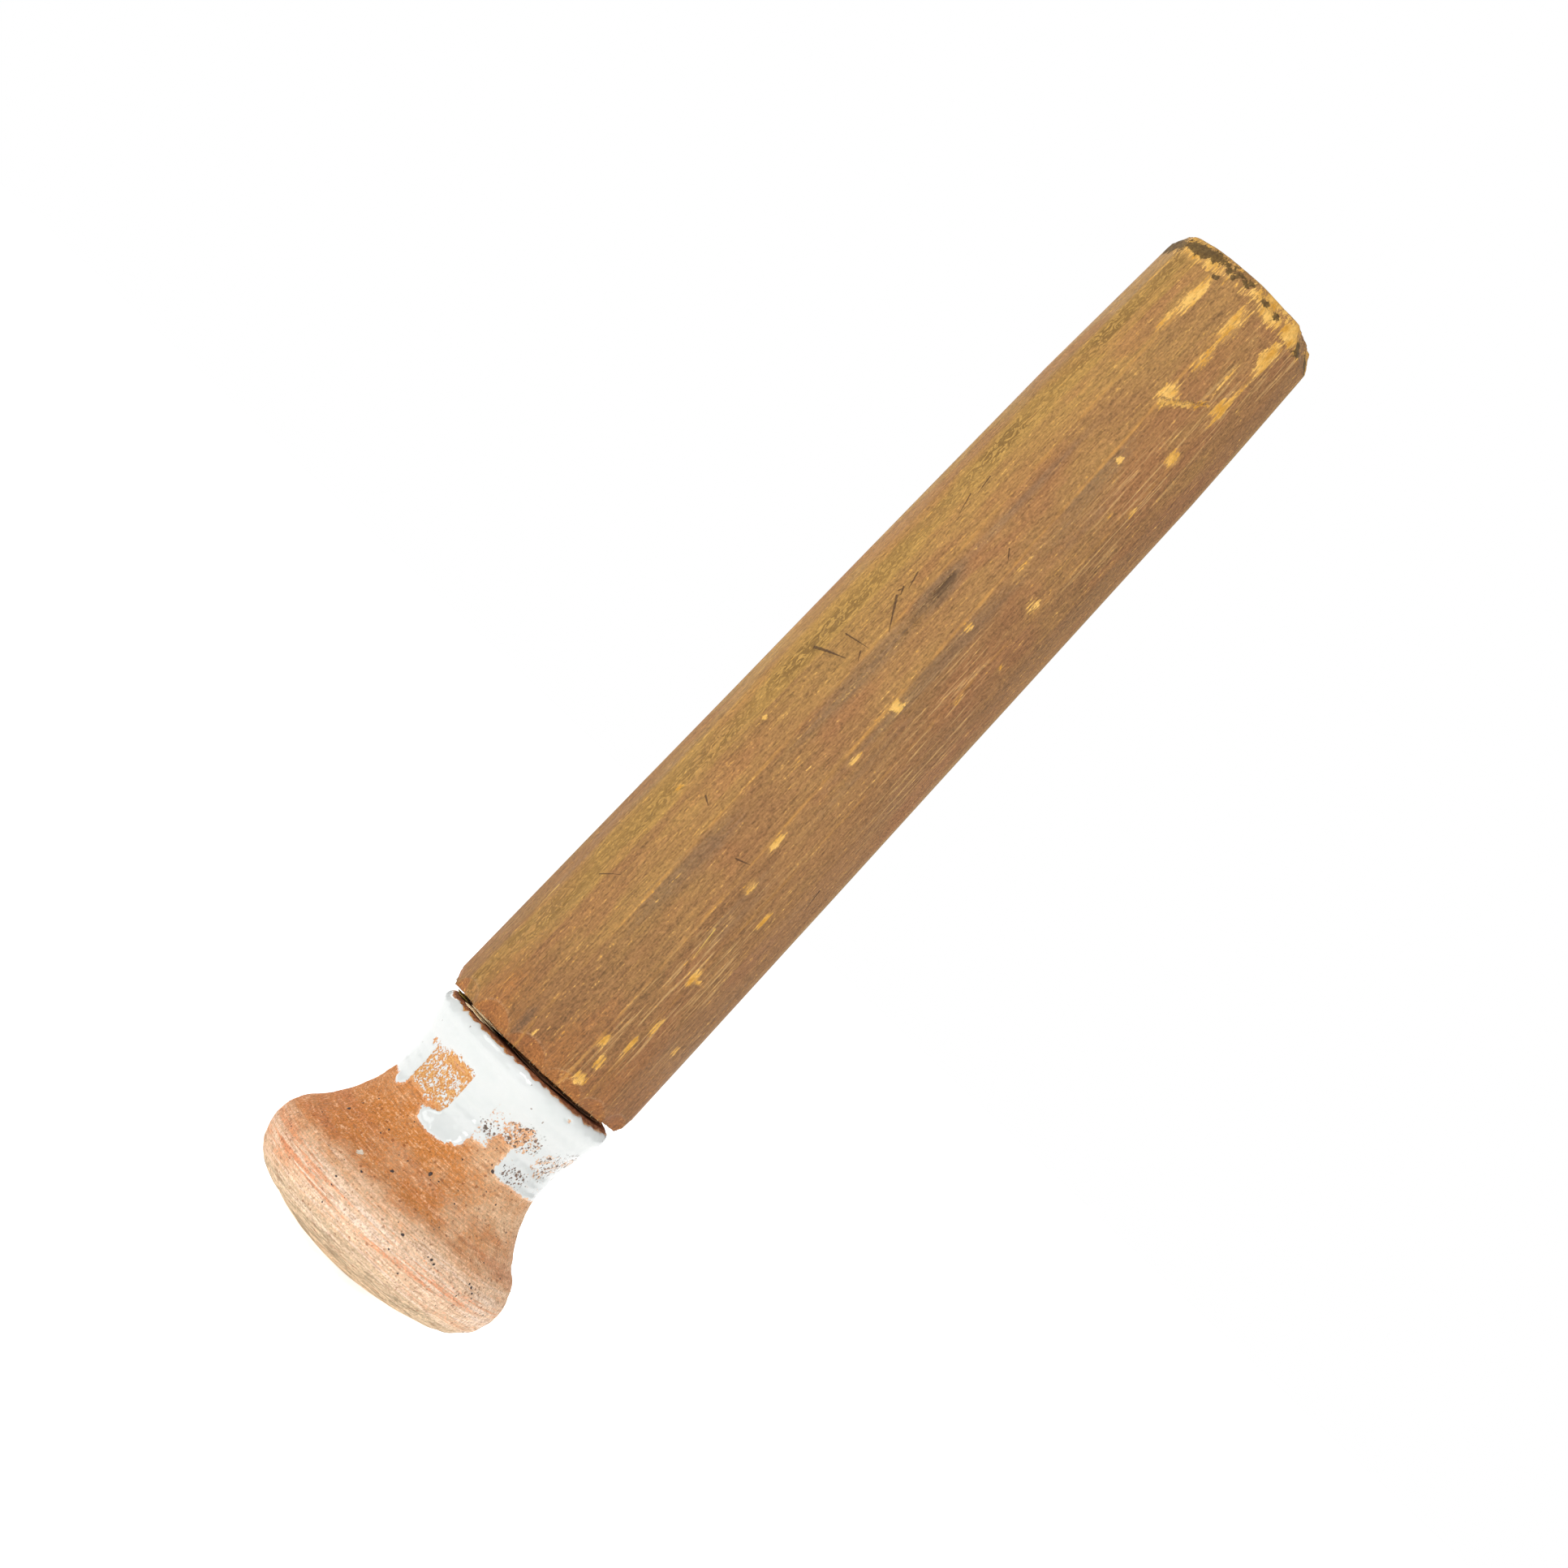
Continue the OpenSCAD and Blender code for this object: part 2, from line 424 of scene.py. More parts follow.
def wood_grain_group() -> NodeTree:
    """Grain that every wooden finish shares.

    Returns:
        A group that puts out Fibre (short fine strands), Scrape (long thin lines), Streak (long bands),
        Grit (dust in the pores) and Pore (dark dashes), each 0 to 1.
    """
    names = ("Fibre", "Scrape", "Streak", "Grit", "Pore")
    inputs = {"Place": (0.0, 0.0, 0.0), "Fineness": 1.0, "Squeeze": (1.0, 1.0, 0.2)}
    w, into, out = node_group("wood_grain", inputs, {name: "NodeSocketFloat" for name in names})
    scaled = w.shade(into["Place"], into["Fineness"])
    short = w.squeeze(scaled, into["Squeeze"])
    long = w.squeeze(short, into["Squeeze"])
    w.feed(out["Fibre"], w.grains(short, 3.3, 3.0, 0.75, 0.3))
    w.feed(out["Scrape"], w.grains(long, 1.9, 2.0, 0.6))
    w.feed(out["Streak"], w.grains(w.squeeze(long, (1.0, 1.0, 0.4)), 0.55, 4.0, 0.6))
    w.feed(out["Grit"], w.grains(scaled, 1.9, 4.0, 0.75))
    w.feed(out["Pore"], w.span(w.noise(short, 3.1, 1.0, 0.5), 0.6, 0.7))
    return w.tree


def speck_group() -> NodeTree:
    """Scattered round specks, used for iron spots, pinholes and pits.

    Returns:
        A group that puts out a Mask of 0 to 1.
    """
    inputs = {"Place": (0.0, 0.0, 0.0), "Scale": 1.0, "Radius": 0.2, "Share": 0.5}
    w, into, out = node_group("specks", inputs, {"Mask": "NodeSocketFloat"})
    wobble = w.add("ShaderNodeTexNoise", {"Vector": into["Place"], "Scale": 3.0, "Detail": 1.0})
    place = w.vector("ADD", into["Place"], w.squeeze(wobble.outputs["Color"], (0.35, 0.35, 0.35)))
    cell = w.add("ShaderNodeTexVoronoi", {"Vector": place, "Scale": into["Scale"]})
    pick = w.add("ShaderNodeSeparateColor", {0: cell.outputs["Color"]})
    chosen = w.math("LESS_THAN", pick.outputs[0], into["Share"])
    size = w.times(into["Radius"], w.span(pick.outputs[1], 0.0, 1.0, 0.35, 1.0))
    inside = w.minus(1.0, w.math("DIVIDE", cell.outputs["Distance"], size))
    w.feed(out["Mask"], w.times(chosen, w.span(inside, 0.0, 0.35)))
    return w.tree


def stroke_group() -> NodeTree:
    """One straight scratch on a surface laid out flat in millimetres, thinning towards its end.

    Returns:
        A group that puts out a Mask of 0 to 1.
    """
    inputs = {"Place": (0.0, 0.0, 0.0), "Start": (0.0, 0.0, 0.0), "Reach": (1.0, 0.0, 0.0), "Width": 0.3}
    w, into, out = node_group("stroke", inputs, {"Mask": "NodeSocketFloat"})
    reach = into["Reach"]
    offset = w.vector("SUBTRACT", into["Place"], into["Start"])
    along, whole = (w.vector("DOT_PRODUCT", a, reach, "Value") for a in (offset, reach))
    held = w.add("ShaderNodeClamp", {0: w.math("DIVIDE", along, whole)}).outputs[0]
    gap = w.vector("DISTANCE", offset, w.shade(reach, held), "Value")
    rough = w.times(w.noise(into["Place"], 1.7, 3.0, 0.6), 0.9)
    width = w.times(w.times(into["Width"], rough), w.span(held, 0.2, 1.0, 1.25, 0.35))
    w.feed(out["Mask"], w.span(w.math("DIVIDE", gap, width), 1.5, 0.6))
    return w.tree


def fired_clay_group(specks: NodeTree) -> NodeTree:
    """Bare fired clay with the streaks left by the wheel, shared by the body and by thin glaze.

    Args:
        specks: The group that scatters specks.

    Returns:
        A group that puts out Color and Height, from a Place in millimetres and a Blush of 0 (pale) to
        1 (toasted).
    """
    outputs = {"Color": "NodeSocketColor", "Height": "NodeSocketFloat"}
    w, into, out = node_group("fired_clay", {"Place": (0.0, 0.0, 0.0), "Blush": 0.5}, outputs)
    place = into["Place"]
    height = w.add("ShaderNodeSeparateXYZ", {0: place}).outputs[2]
    rings = w.grains(w.squeeze(place, (0.035, 0.035, 1.0)), 1.5, 5.0, 0.7, 0.2)
    wide_rings = w.grains(w.squeeze(place, (0.06, 0.06, 0.8)), 0.5, 3.0, 0.55, 0.5)
    scrapes = w.grains(w.squeeze(place, (0.12, 0.12, 1.0)), 2.6, 3.0, 0.65)
    clouds = w.grains(place, 0.13, 4.0, 0.6)
    sand = w.grains(place, 1.7, 4.0, 0.8)

    blush = w.span(w.swayed(into["Blush"], (clouds, 0.5), (sand, 0.25)), 0.0, 1.0)
    color = w.mix(blush, srgb(230, 188, 148), srgb(208, 132, 66))
    belt = w.times(w.span(height, 29.0, 25.5), w.span(height, 17.0, 20.5))
    color = w.over(color, (202, 120, 76), w.times(belt, w.swayed(0.28, (wide_rings, 0.5))))

    flank = w.span(w.swayed(height, (wide_rings, 4.0)), 20.6, 14.0)
    bleached = w.times(flank, w.span(into["Blush"], 0.8, 0.2, 0.42, 0.88))
    color = w.over(color, (234, 198, 166), bleached)
    pale = w.times(bleached, w.span(w.total(w.centred(rings, 1.0), w.centred(sand, 0.7)), 0.0, 0.4))
    color = w.over(color, (244, 222, 206), pale, 0.75)
    above = w.times(flank, w.span(height, 5.5, 9.5))
    streaks = w.total(w.centred(rings, -0.9), w.centred(wide_rings, 0.8), w.centred(sand, 0.6),
                      w.centred(blush, 0.16))
    red = w.times(above, w.span(streaks, 0.12, 0.46))
    color = w.over(color, (224, 134, 84), red, 0.66)
    base = w.span(w.swayed(height, (rings, 4.0)), 11.0, 5.0)
    color = w.over(color, (204, 182, 150), base, 0.85)
    dirt = w.span(w.noise(w.squeeze(place, (0.12, 0.12, 1.0)), 1.1, 5.0, 0.75), 0.47, 0.6)
    color = w.over(color, (120, 106, 80), w.times(w.span(height, 9.0, 5.0), dirt), 0.7)

    light_lines = w.times(w.span(scrapes, 0.7, 0.95), w.span(sand, 0.3, 0.8))
    color = w.over(color, (240, 208, 172), light_lines, 0.5)
    color = w.over(color, (168, 98, 58), w.span(scrapes, 0.22, 0.0, 0.0, 0.35))
    dust = w.span(w.noise(place, 2.2, 3.0, 0.8), 0.53, 0.68)
    color = w.over(color, (244, 214, 176), dust, 0.42)
    color = w.shade(color, w.swayed(1.0, (sand, 0.5), (scrapes, 0.18)))
    rust = w.group(specks, Place=place, Scale=0.9, Radius=0.36, Share=0.3)
    color = w.over(color, (140, 74, 42), rust.outputs[0], 0.55)
    fleck = w.group(specks, Place=place, Scale=1.9, Radius=0.5, Share=0.22)
    color = w.over(color, (150, 88, 54), fleck.outputs[0], 0.5)
    w.feed(out["Color"], color)
    grain = w.total(w.times(rings, 0.3), w.times(scrapes, 0.25), w.times(sand, 0.45))
    w.feed(out["Height"], w.minus(grain, w.times(rust.outputs[0], 0.5)))
    return w.tree


@dataclass
class Groups:
    """Node groups that several finishes share, each built once."""

    wood_grain: NodeTree = field(default_factory=wood_grain_group)
    specks: NodeTree = field(default_factory=speck_group)
    stroke: NodeTree = field(default_factory=stroke_group)
    fired_clay: NodeTree = field(init=False)

    def __post_init__(self) -> None:
        """Builds the clay group out of the speck group."""
        self.fired_clay = fired_clay_group(self.specks)


def new_material(name: str) -> tuple[Material, Wires]:
    """Starts a material with no nodes, and gives it with its wires."""
    material = bpy.data.materials.new(name)
    material.use_nodes = True
    material.node_tree.nodes.clear()
    return material, Wires(material.node_tree)


# ---------------------------------------------------------------- finishes

@dataclass(frozen=True)
class StonewareFinish:
    """Bare sandy stoneware."""

    roughness: float = 0.82
    grain_depth: float = 0.2

    def build(self, groups: Groups) -> Material:
        """Makes the material; it reads the painted numbers blush, iron and chip.

        Args:
            groups: The shared node groups.

        Returns:
            The material.
        """
        material, w = new_material("stoneware")
        place = w.millimetres()
        clay = w.group(groups.fired_clay, Place=place, Blush=w.painted("blush"))
        rusty = w.mix(w.grains(place, 1.3, 4.0, 0.7), srgb(122, 72, 44), srgb(182, 122, 84))
        rim = w.swayed(w.painted("iron"), (w.grains(place, 1.6, 3.0, 0.7), 0.5))
        color = w.mix(w.span(rim, 0.3, 0.7), clay.outputs["Color"], rusty)
        chip = w.span(w.swayed(w.painted("chip"), (w.grains(place, 2.0), 0.5)), 0.35, 0.6)
        color = w.over(color, (236, 222, 204), chip)
        rough = w.span(clay.outputs["Height"], 0.2, 0.8, self.roughness + 0.08, self.roughness - 0.12)
        w.surface(color, rough, w.bump(clay.outputs["Height"], self.grain_depth, 0.8), 0.3)
        return material


@dataclass(frozen=True)
class GlazeFinish:
    """Glassy white glaze that lets the clay through where it is thin."""

    gloss_roughness: float = 0.11
    thin_roughness: float = 0.5

    def build(self, groups: Groups) -> Material:
        """Makes the material; it reads the painted numbers cover, toast, pores and blush.

        Args:
            groups: The shared node groups.

        Returns:
            The material.
        """
        material, w = new_material("white_glaze")
        place = w.millimetres()
        clay = w.group(groups.fired_clay, Place=place, Blush=w.painted("blush"))
        cover = w.painted("cover")
        froth = w.grains(place, 1.0, 4.0, 0.62, 0.2)
        fine = w.grains(place, 2.6, 2.0, 0.6)
        mottle = w.total(w.times(froth, 0.55), w.times(fine, 0.45))
        opaque = w.span(w.minus(w.times(cover, 1.3), mottle), -0.06, 0.12)
        white = w.mix(w.noise(place, 0.3, 2.0), srgb(222, 224, 223), srgb(214, 219, 216))
        toast = w.mix(fine, srgb(226, 172, 96), srgb(190, 120, 52))
        under = w.mix(w.painted("toast"), clay.outputs["Color"], toast)
        color = w.mix(opaque, under, white)
        prick = self.specks(w, groups, place, 0.62, 0.2, 0.12)
        color = w.over(color, (120, 88, 66), prick, 0.75)
        crowd = w.swayed(w.painted("pores"), (froth, 0.5))
        large = self.specks(w, groups, place, 1.1, 0.55, 0.6)
        small = self.specks(w, groups, place, 2.3, 0.6, 0.6)
        pore = w.times(w.math("MAXIMUM", large, small), w.span(crowd, 0.3, 0.7))
        stain = w.mix(froth, srgb(128, 84, 54), srgb(70, 60, 48))
        color = w.mix(w.times(pore, 0.95), color, stain)
        gloss = w.times(opaque, w.minus(1.0, pore))
        rough = w.span(gloss, 0.2, 0.95, self.thin_roughness, self.gloss_roughness)
        relief = w.total(w.times(w.noise(place, 0.45, 1.0), 1.1), w.times(opaque, 0.4))
        relief = w.minus(relief, w.times(w.math("MAXIMUM", pore, prick), 0.35))
        w.surface(color, rough, w.bump(relief, 0.22, 0.5), 0.6)
        return material

    @staticmethod
    def specks(w: Wires, groups: Groups, place: Feed, scale: float, radius: float,
               share: float) -> NodeSocket:
        """Scatters specks: scale is how many to a millimetre, radius their size, share how many are kept."""
        return w.group(groups.specks, Place=place, Scale=scale, Radius=radius, Share=share).outputs[0]


@dataclass(frozen=True)
class Scratch:
    """A cut or scrape on the handle, from one place to another."""

    start: tuple[float, float]
    end: tuple[float, float]
    width: float
    pale: bool = False


SCRATCHES = [Scratch(*mark) for mark in (
    ((-44, 91.3), (-33.5, 94.1), 0.22), ((-29.7, 116.3), (-24.6, 115.3), 0.34),
    ((5.3, 111.5), (12.8, 112.5), 0.3), ((-29.5, 169.6), (-18.2, 163.4), 0.42),
    ((-36.4, 157.6), (-20.8, 158.4), 0.26), ((-45.9, 151.7), (-26.2, 154.0), 0.5),
    ((-22.5, 157.0), (-19.5, 155.2), 0.2), ((-30.5, 175.8), (-27.4, 172.2), 0.28),
    ((-30.6, 171.8), (-28.2, 170.2), 0.3), ((-31.2, 170.6), (-29.6, 171.9), 0.24),
    ((-41.0, 194.0), (-37.0, 189.5), 0.2), ((-39.5, 199.0), (-37.5, 194.6), 0.22),
    ((-62.5, 84.2), (-62.2, 79.0), 0.3, True), ((-2.0, 191.0), (3.0, 188.6), 0.2),
    ((22.5, 99.0), (24.5, 92.0), 0.2, True), ((58.0, 118.0), (61.0, 113.0), 0.35),
    ((118.0, 150.0), (131.0, 146.0), 0.32), ((-118.0, 102.0), (-104.0, 105.0), 0.3),
    ((171.0, 205.0), (186.0, 201.0), 0.36), ((150.0, 86.0), (156.0, 92.0), 0.28),
)]


@dataclass(frozen=True)
class HandleWoodFinish:
    """Old handled wood: brown and golden, darkened by hands and by painted shade on its right-hand flats,
    ochre where it is rubbed through.
    """

    unrolled_mm: tuple[float, float, float]
    wrap_r: float
    roughness: float = 0.6

    def marks(self, w: Wires, groups: Groups, flat: Feed, pale: bool) -> NodeSocket:
        """Joins all scratches of one kind into a mask.

        Args:
            w: Wires of the material.
            groups: The shared groups.
            flat: Place on the surface laid out flat, in millimetres.
            pale: Whether to take the pale ones or the dark ones.

        Returns:
            The mask's socket.
        """
        total: Feed = 0.0
        for mark in (m for m in SCRATCHES if m.pale == pale):
            start, end = ((math.radians(a) * self.wrap_r, z, 0.0) for a, z in (mark.start, mark.end))
            reach = tuple(b - a for a, b in zip(start, end))
            stroke = w.group(groups.stroke, Place=flat, Start=start, Reach=reach, Width=mark.width)
            total = w.math("MAXIMUM", total, stroke.outputs[0])
        return total

    def ground(self, w: Wires, place: Feed, grain: Node, clouds: Feed) -> NodeSocket:
        """Lays the wood's tone: brown to golden, reddened or greyed in places, broken up by the grain, with
        painted shade from the number dark on the right-hand flats.

        Args:
            w: Wires of the material.
            place: Place in millimetres.
            grain: The wood's grain.
            clouds: Slow unevenness of 0 to 1.

        Returns:
            The colour's socket.
        """
        fibre, scrape, streak, grit, pore = (grain.outputs[k]
                                             for k in ("Fibre", "Scrape", "Streak", "Grit", "Pore"))
        gold = w.span(w.swayed(w.painted("gold"), (clouds, 0.3), (scrape, 0.16)), 0.0, 1.0)
        color = w.mix(gold, srgb(158, 113, 69), srgb(179, 137, 69))
        redder = w.grains(w.squeeze(place, (1.0, 1.0, 0.3)), 0.1, 3.0, 0.6)
        color = w.over(color, (164, 106, 68), w.span(redder, 0.45, 1.0), 0.35)
        smoke = w.swayed(w.painted(Wear.SMOKE.value), (streak, 0.5), (fibre, 0.3))
        color = w.over(color, (116, 94, 72), w.span(smoke, 0.2, 1.0, 0.0, 0.55))
        rust = w.swayed(w.painted(Wear.RUST.value), (clouds, 0.4), (grit, 0.25))
        color = w.mix(w.span(rust, 0.1, 0.95, 0.0, 0.8), color,
                      w.mix(clouds, srgb(158, 98, 52), srgb(178, 112, 48)))
        light = w.swayed(1.0, (fibre, 0.4), (grit, 0.4), (scrape, 0.16), (streak, 0.16))
        # The number dark is painted shade on the front's right-hand flats, away from the key light; it also
        # varies at random and rises towards the shoulder.
        light = w.minus(light, w.times(w.painted("dark"), 0.3))
        color = w.shade(color, light)
        color = w.over(color, (92, 60, 34), pore, 0.42)
        bright = w.times(w.painted("scraped"), w.span(scrape, 0.72, 0.95))
        return w.over(color, (206, 166, 108), bright, 0.6)

    def figured(self, w: Wires, place: Feed, color: Feed) -> tuple[NodeSocket, NodeSocket]:
        """Adds the curly band and the light lines along the arrises.

        Args:
            w: Wires of the material.
            place: Place in millimetres.
            color: Colour so far.

        Returns:
            The new colour, and the curls as a mask.
        """
        curls = w.noise(w.squeeze(place, (1.0, 1.0, 0.45)), 0.8, 2.5, 0.55, 1.2)
        wave = w.math("SINE", w.times(curls, 15.0))
        line = w.times(w.span(wave, 0.1, 0.85), w.painted("figure"))
        color = w.over(color, (206, 162, 82), w.painted("figure"), 0.32)
        color = w.over(color, (112, 80, 34), line, 0.75)
        patchy = w.grains(w.squeeze(place, (0.4, 0.4, 0.25)), 0.8, 3.0, 0.6)
        ridge = w.times(w.painted("ridge"), w.total(0.35, w.times(patchy, 0.65)))
        return w.over(color, (208, 150, 72), w.span(ridge, 0.1, 1.0, 0.0, 0.7)), line

    def build(self, groups: Groups) -> Material:
        """Makes the material; it reads the painted numbers of the handle and its unrolled UV map.

        Args:
            groups: The shared node groups.

        Returns:
            The material.
        """
        material, w = new_material("handle_wood")
        place = w.millimetres()
        grain = w.group(groups.wood_grain, Place=place, Squeeze=GrainAxis.UPRIGHT.value)
        fibre, scrape, grit = (grain.outputs[k] for k in ("Fibre", "Scrape", "Grit"))
        unrolled = w.add("ShaderNodeUVMap", uv_map="unrolled").outputs[0]
        flat = w.squeeze(w.vector("SUBTRACT", unrolled, (0.5, 0.0, 0.0)), self.unrolled_mm)
        clouds = w.grains(w.squeeze(place, (1.0, 1.0, 0.35)), 0.13, 4.0, 0.6)
        color = self.ground(w, place, grain, clouds)
        color, curls = self.figured(w, place, color)

        rubbed = w.painted(Wear.OCHRE.value)
        color = w.over(color, (206, 156, 88), w.span(w.swayed(rubbed, (fibre, 0.3)), 0.08, 0.9, 0.0, 0.6))
        ragged = w.swayed(rubbed, (scrape, 0.8), (fibre, 0.5), (grit, 0.3))
        wear = w.span(ragged, 0.5, 0.74)
        tint = w.grains(w.squeeze(place, (1.0, 1.0, 0.5)), 0.5, 3.0, 0.6)
        ochre = w.mix(tint, srgb(234, 186, 100), srgb(208, 150, 54))
        ochre = w.shade(ochre, w.swayed(1.0, (grit, 0.2), (fibre, 0.22)))
        color = w.mix(w.times(wear, 0.94), color, ochre)
        crust = w.grains(w.squeeze(place, (1.0, 1.0, 0.8)), 0.8, 5.0, 0.7)
        soot = w.span(w.swayed(w.painted(Wear.SOOT.value), (crust, 0.75)), 0.4, 0.54)
        dark = w.mix(w.grains(place, 1.5, 3.0, 0.7), srgb(74, 54, 26), srgb(118, 92, 48))
        color = w.mix(w.times(soot, 0.94), color, dark)

        dark_marks = self.marks(w, groups, flat, False)
        color = w.over(color, (70, 46, 28), dark_marks, 0.8)
        color = w.over(color, (222, 182, 92), self.marks(w, groups, flat, True), 0.8)
        color = w.over(color, (78, 58, 40), w.times(w.painted("crack"), w.span(scrape, 1.0, 0.2, 0.35, 0.9)))
        color = w.over(color, (190, 156, 118), w.times(w.painted("lip"), w.span(grit, 0.3, 0.8, 0.0, 0.3)))

        polish = w.span(w.total(clouds, w.times(fibre, 0.4)), 0.4, 1.2, self.roughness + 0.08,
                        self.roughness - 0.1)
        rough = w.total(polish, w.times(w.math("MAXIMUM", wear, soot), 0.12))
        relief = w.total(w.times(fibre, 0.4), w.times(grit, 0.25), w.times(scrape, 0.3))
        relief = w.minus(relief, w.times(curls, 0.4))
        relief = w.minus(relief, w.total(dark_marks, w.times(wear, 0.3)))
        w.surface(color, rough, w.bump(relief, 0.16, 0.7), 0.32)
        return material


@dataclass(frozen=True)
class StrandFinish:
    """Freshly split wood, in one of several tints, or dark packing fibre."""

    name: str
    pale: tuple[float, float, float]
    deep: tuple[float, float, float]
    squeeze: tuple[float, float, float] = GrainAxis.LEVEL.value
    roughness: float = 0.7

    def build(self, groups: Groups) -> Material:
        """Makes the material.

        Args:
            groups: The shared node groups.

        Returns:
            The material.
        """
        material, w = new_material(self.name)
        place = w.millimetres()
        grain = w.group(groups.wood_grain, Place=place, Fineness=1.8, Squeeze=self.squeeze)
        color = w.mix(w.span(grain.outputs["Fibre"], 0.3, 0.7), srgb(*self.pale), srgb(*self.deep))
        color = w.mix(w.span(grain.outputs["Grit"], 0.7, 1.0, 0.0, 0.5), color,
                      srgb(*(0.6 * c for c in self.deep)))
        rough = w.span(grain.outputs["Streak"], 0.3, 0.7, self.roughness, self.roughness + 0.15)
        w.surface(color, rough, w.bump(grain.outputs["Fibre"], 0.12, 0.8))
        return material


@dataclass(frozen=True)
class GrainyFinish:
    """Plain mineral stuff with sand in it: cement, or an iron spot."""

    name: str
    pale: tuple[float, float, float]
    deep: tuple[float, float, float]
    roughness: float

    def build(self, groups: Groups) -> Material:
        """Makes the material.

        Args:
            groups: The shared node groups.

        Returns:
            The material.
        """
        material, w = new_material(self.name)
        place = w.millimetres()
        sand = w.noise(place, 1.4, 5.0, 0.7)
        pits = w.group(groups.specks, Place=place, Scale=0.8, Radius=0.4, Share=0.3)
        color = w.mix(w.span(sand, 0.3, 0.7), srgb(*self.pale), srgb(*self.deep))
        color = w.mix(w.times(pits.outputs[0], 0.5), color, srgb(*(0.6 * c for c in self.deep)))
        rough = w.span(sand, 0.3, 0.7, self.roughness, self.roughness - 0.15)
        w.surface(color, rough, w.bump(w.minus(sand, pits.outputs[0]), 0.15, 0.7))
        return material


# ---------------------------------------------------------------- pieces grown by geometry nodes

def grow(name: str, seed_mesh: Mesh, tree: NodeTree, values: dict[str, object]) -> Object:
    """Runs a geometry tree on a mesh and keeps the result as a plain mesh.

    Args:
        name: Name of the finished piece.
        seed_mesh: Mesh that the tree starts from.
        tree: The geometry node group.
        values: Value of each of its inputs, by name.

    Returns:
        The object, at the origin, with no modifier.
    """
    carrier = stand(name + "_seed", seed_mesh)
    modifier = carrier.modifiers.new("grow", "NODES")
    modifier.node_group = tree
    for socket in tree.interface.items_tree:
        if socket.item_type == "SOCKET" and socket.in_out == "INPUT" and socket.name in values:
            modifier[socket.identifier] = values[socket.name]
    bpy.context.view_layer.update()
    graph = bpy.context.evaluated_depsgraph_get()
    mesh = bpy.data.meshes.new_from_object(carrier.evaluated_get(graph), preserve_all_data_layers=True,
                                           depsgraph=graph)
    mesh.name = name
    carrier.modifiers.remove(modifier)
    bpy.data.objects.remove(carrier)
    return stand(name, mesh)


def close_tree(w: Wires, out: Sockets, geometry: Feed, material: Feed) -> None:
    """Ends a geometry tree in Realize Instances and Set Material."""
    real = w.add("GeometryNodeRealizeInstances", {0: geometry})
    w.feed(out[0],
           w.add("GeometryNodeSetMaterial", {"Geometry": real.outputs[0], "Material": material}).outputs[0])


def throwing_tree() -> NodeTree:
    """Turns an outline round the axis, as a wheel does.

    Returns:
        A tree with the inputs Geometry (the outline, in the XY plane), Columns and Material.
    """
    inputs = {"Geometry": "NodeSocketGeometry", "Columns": 64, "Material": "NodeSocketMaterial"}
    w, into, out = node_group("throw_outline", inputs, {"Geometry": "NodeSocketGeometry"}, "GeometryNodeTree")
    outline = w.add("GeometryNodeMeshToCurve", {"Mesh": into["Geometry"]})
    wheel = w.add("GeometryNodeCurvePrimitiveCircle", {"Resolution": into["Columns"], "Radius": 0.001})
    swept = w.add("GeometryNodeCurveToMesh", {"Curve": wheel.outputs[0], "Profile Curve": outline.outputs[0]})
    close_tree(w, out, swept.outputs[0], into["Material"])
    return w.tree


def strand_tree() -> NodeTree:
    """Lays bent strands along the edges of a mesh, each with its own thickness.

    Returns:
        A tree with the inputs Geometry (edges, with a number named girth at each point), Steps, Bend,
        Flatness, Seed and Material. Lengths are in metres.
    """
    inputs = {"Geometry": "NodeSocketGeometry", "Steps": 8, "Bend": 0.0, "Flatness": 1.0, "Seed": 0.0,
              "Material": "NodeSocketMaterial"}
    w, into, out = node_group("lay_strands", inputs, {"Geometry": "NodeSocketGeometry"}, "GeometryNodeTree")
    curve = w.add("GeometryNodeMeshToCurve", {"Mesh": into["Geometry"]})
    fine = w.add("GeometryNodeSubdivideCurve", {"Curve": curve.outputs[0], "Cuts": into["Steps"]})
    place = w.add("GeometryNodeInputPosition").outputs[0]
    wave = w.add("ShaderNodeTexNoise", {"Vector": place, "W": into["Seed"], "Scale": 420.0, "Detail": 2.0},
                 noise_dimensions="4D")
    push = w.shade(w.vector("SUBTRACT", wave.outputs["Color"], (0.5, 0.5, 0.5)), into["Bend"])
    bent = w.add("GeometryNodeSetPosition", {"Geometry": fine.outputs[0], "Offset": push})
    girth = w.add("GeometryNodeInputNamedAttribute", {"Name": "girth"}, data_type="FLOAT")
    ring = w.add("GeometryNodeCurvePrimitiveCircle", {"Resolution": 6, "Radius": 1.0})
    flat = w.add("ShaderNodeCombineXYZ", {0: 1.0, 1: into["Flatness"], 2: 1.0})
    section = w.add("GeometryNodeTransform", {"Geometry": ring.outputs[0], "Scale": flat.outputs[0]})
    upright = w.add("GeometryNodeSetCurveNormal", {"Curve": bent.outputs[0]}, mode="Z_UP")
    feeds = {"Curve": upright.outputs[0], "Profile Curve": section.outputs[0], "Scale": girth.outputs[0],
             "Fill Caps": True}
    body = w.add("GeometryNodeCurveToMesh", feeds)
    shaded = w.add("GeometryNodeSetShadeSmooth", {"Geometry": body.outputs[0], "Shade Smooth": True})
    close_tree(w, out, shaded.outputs[0], into["Material"])
    return w.tree


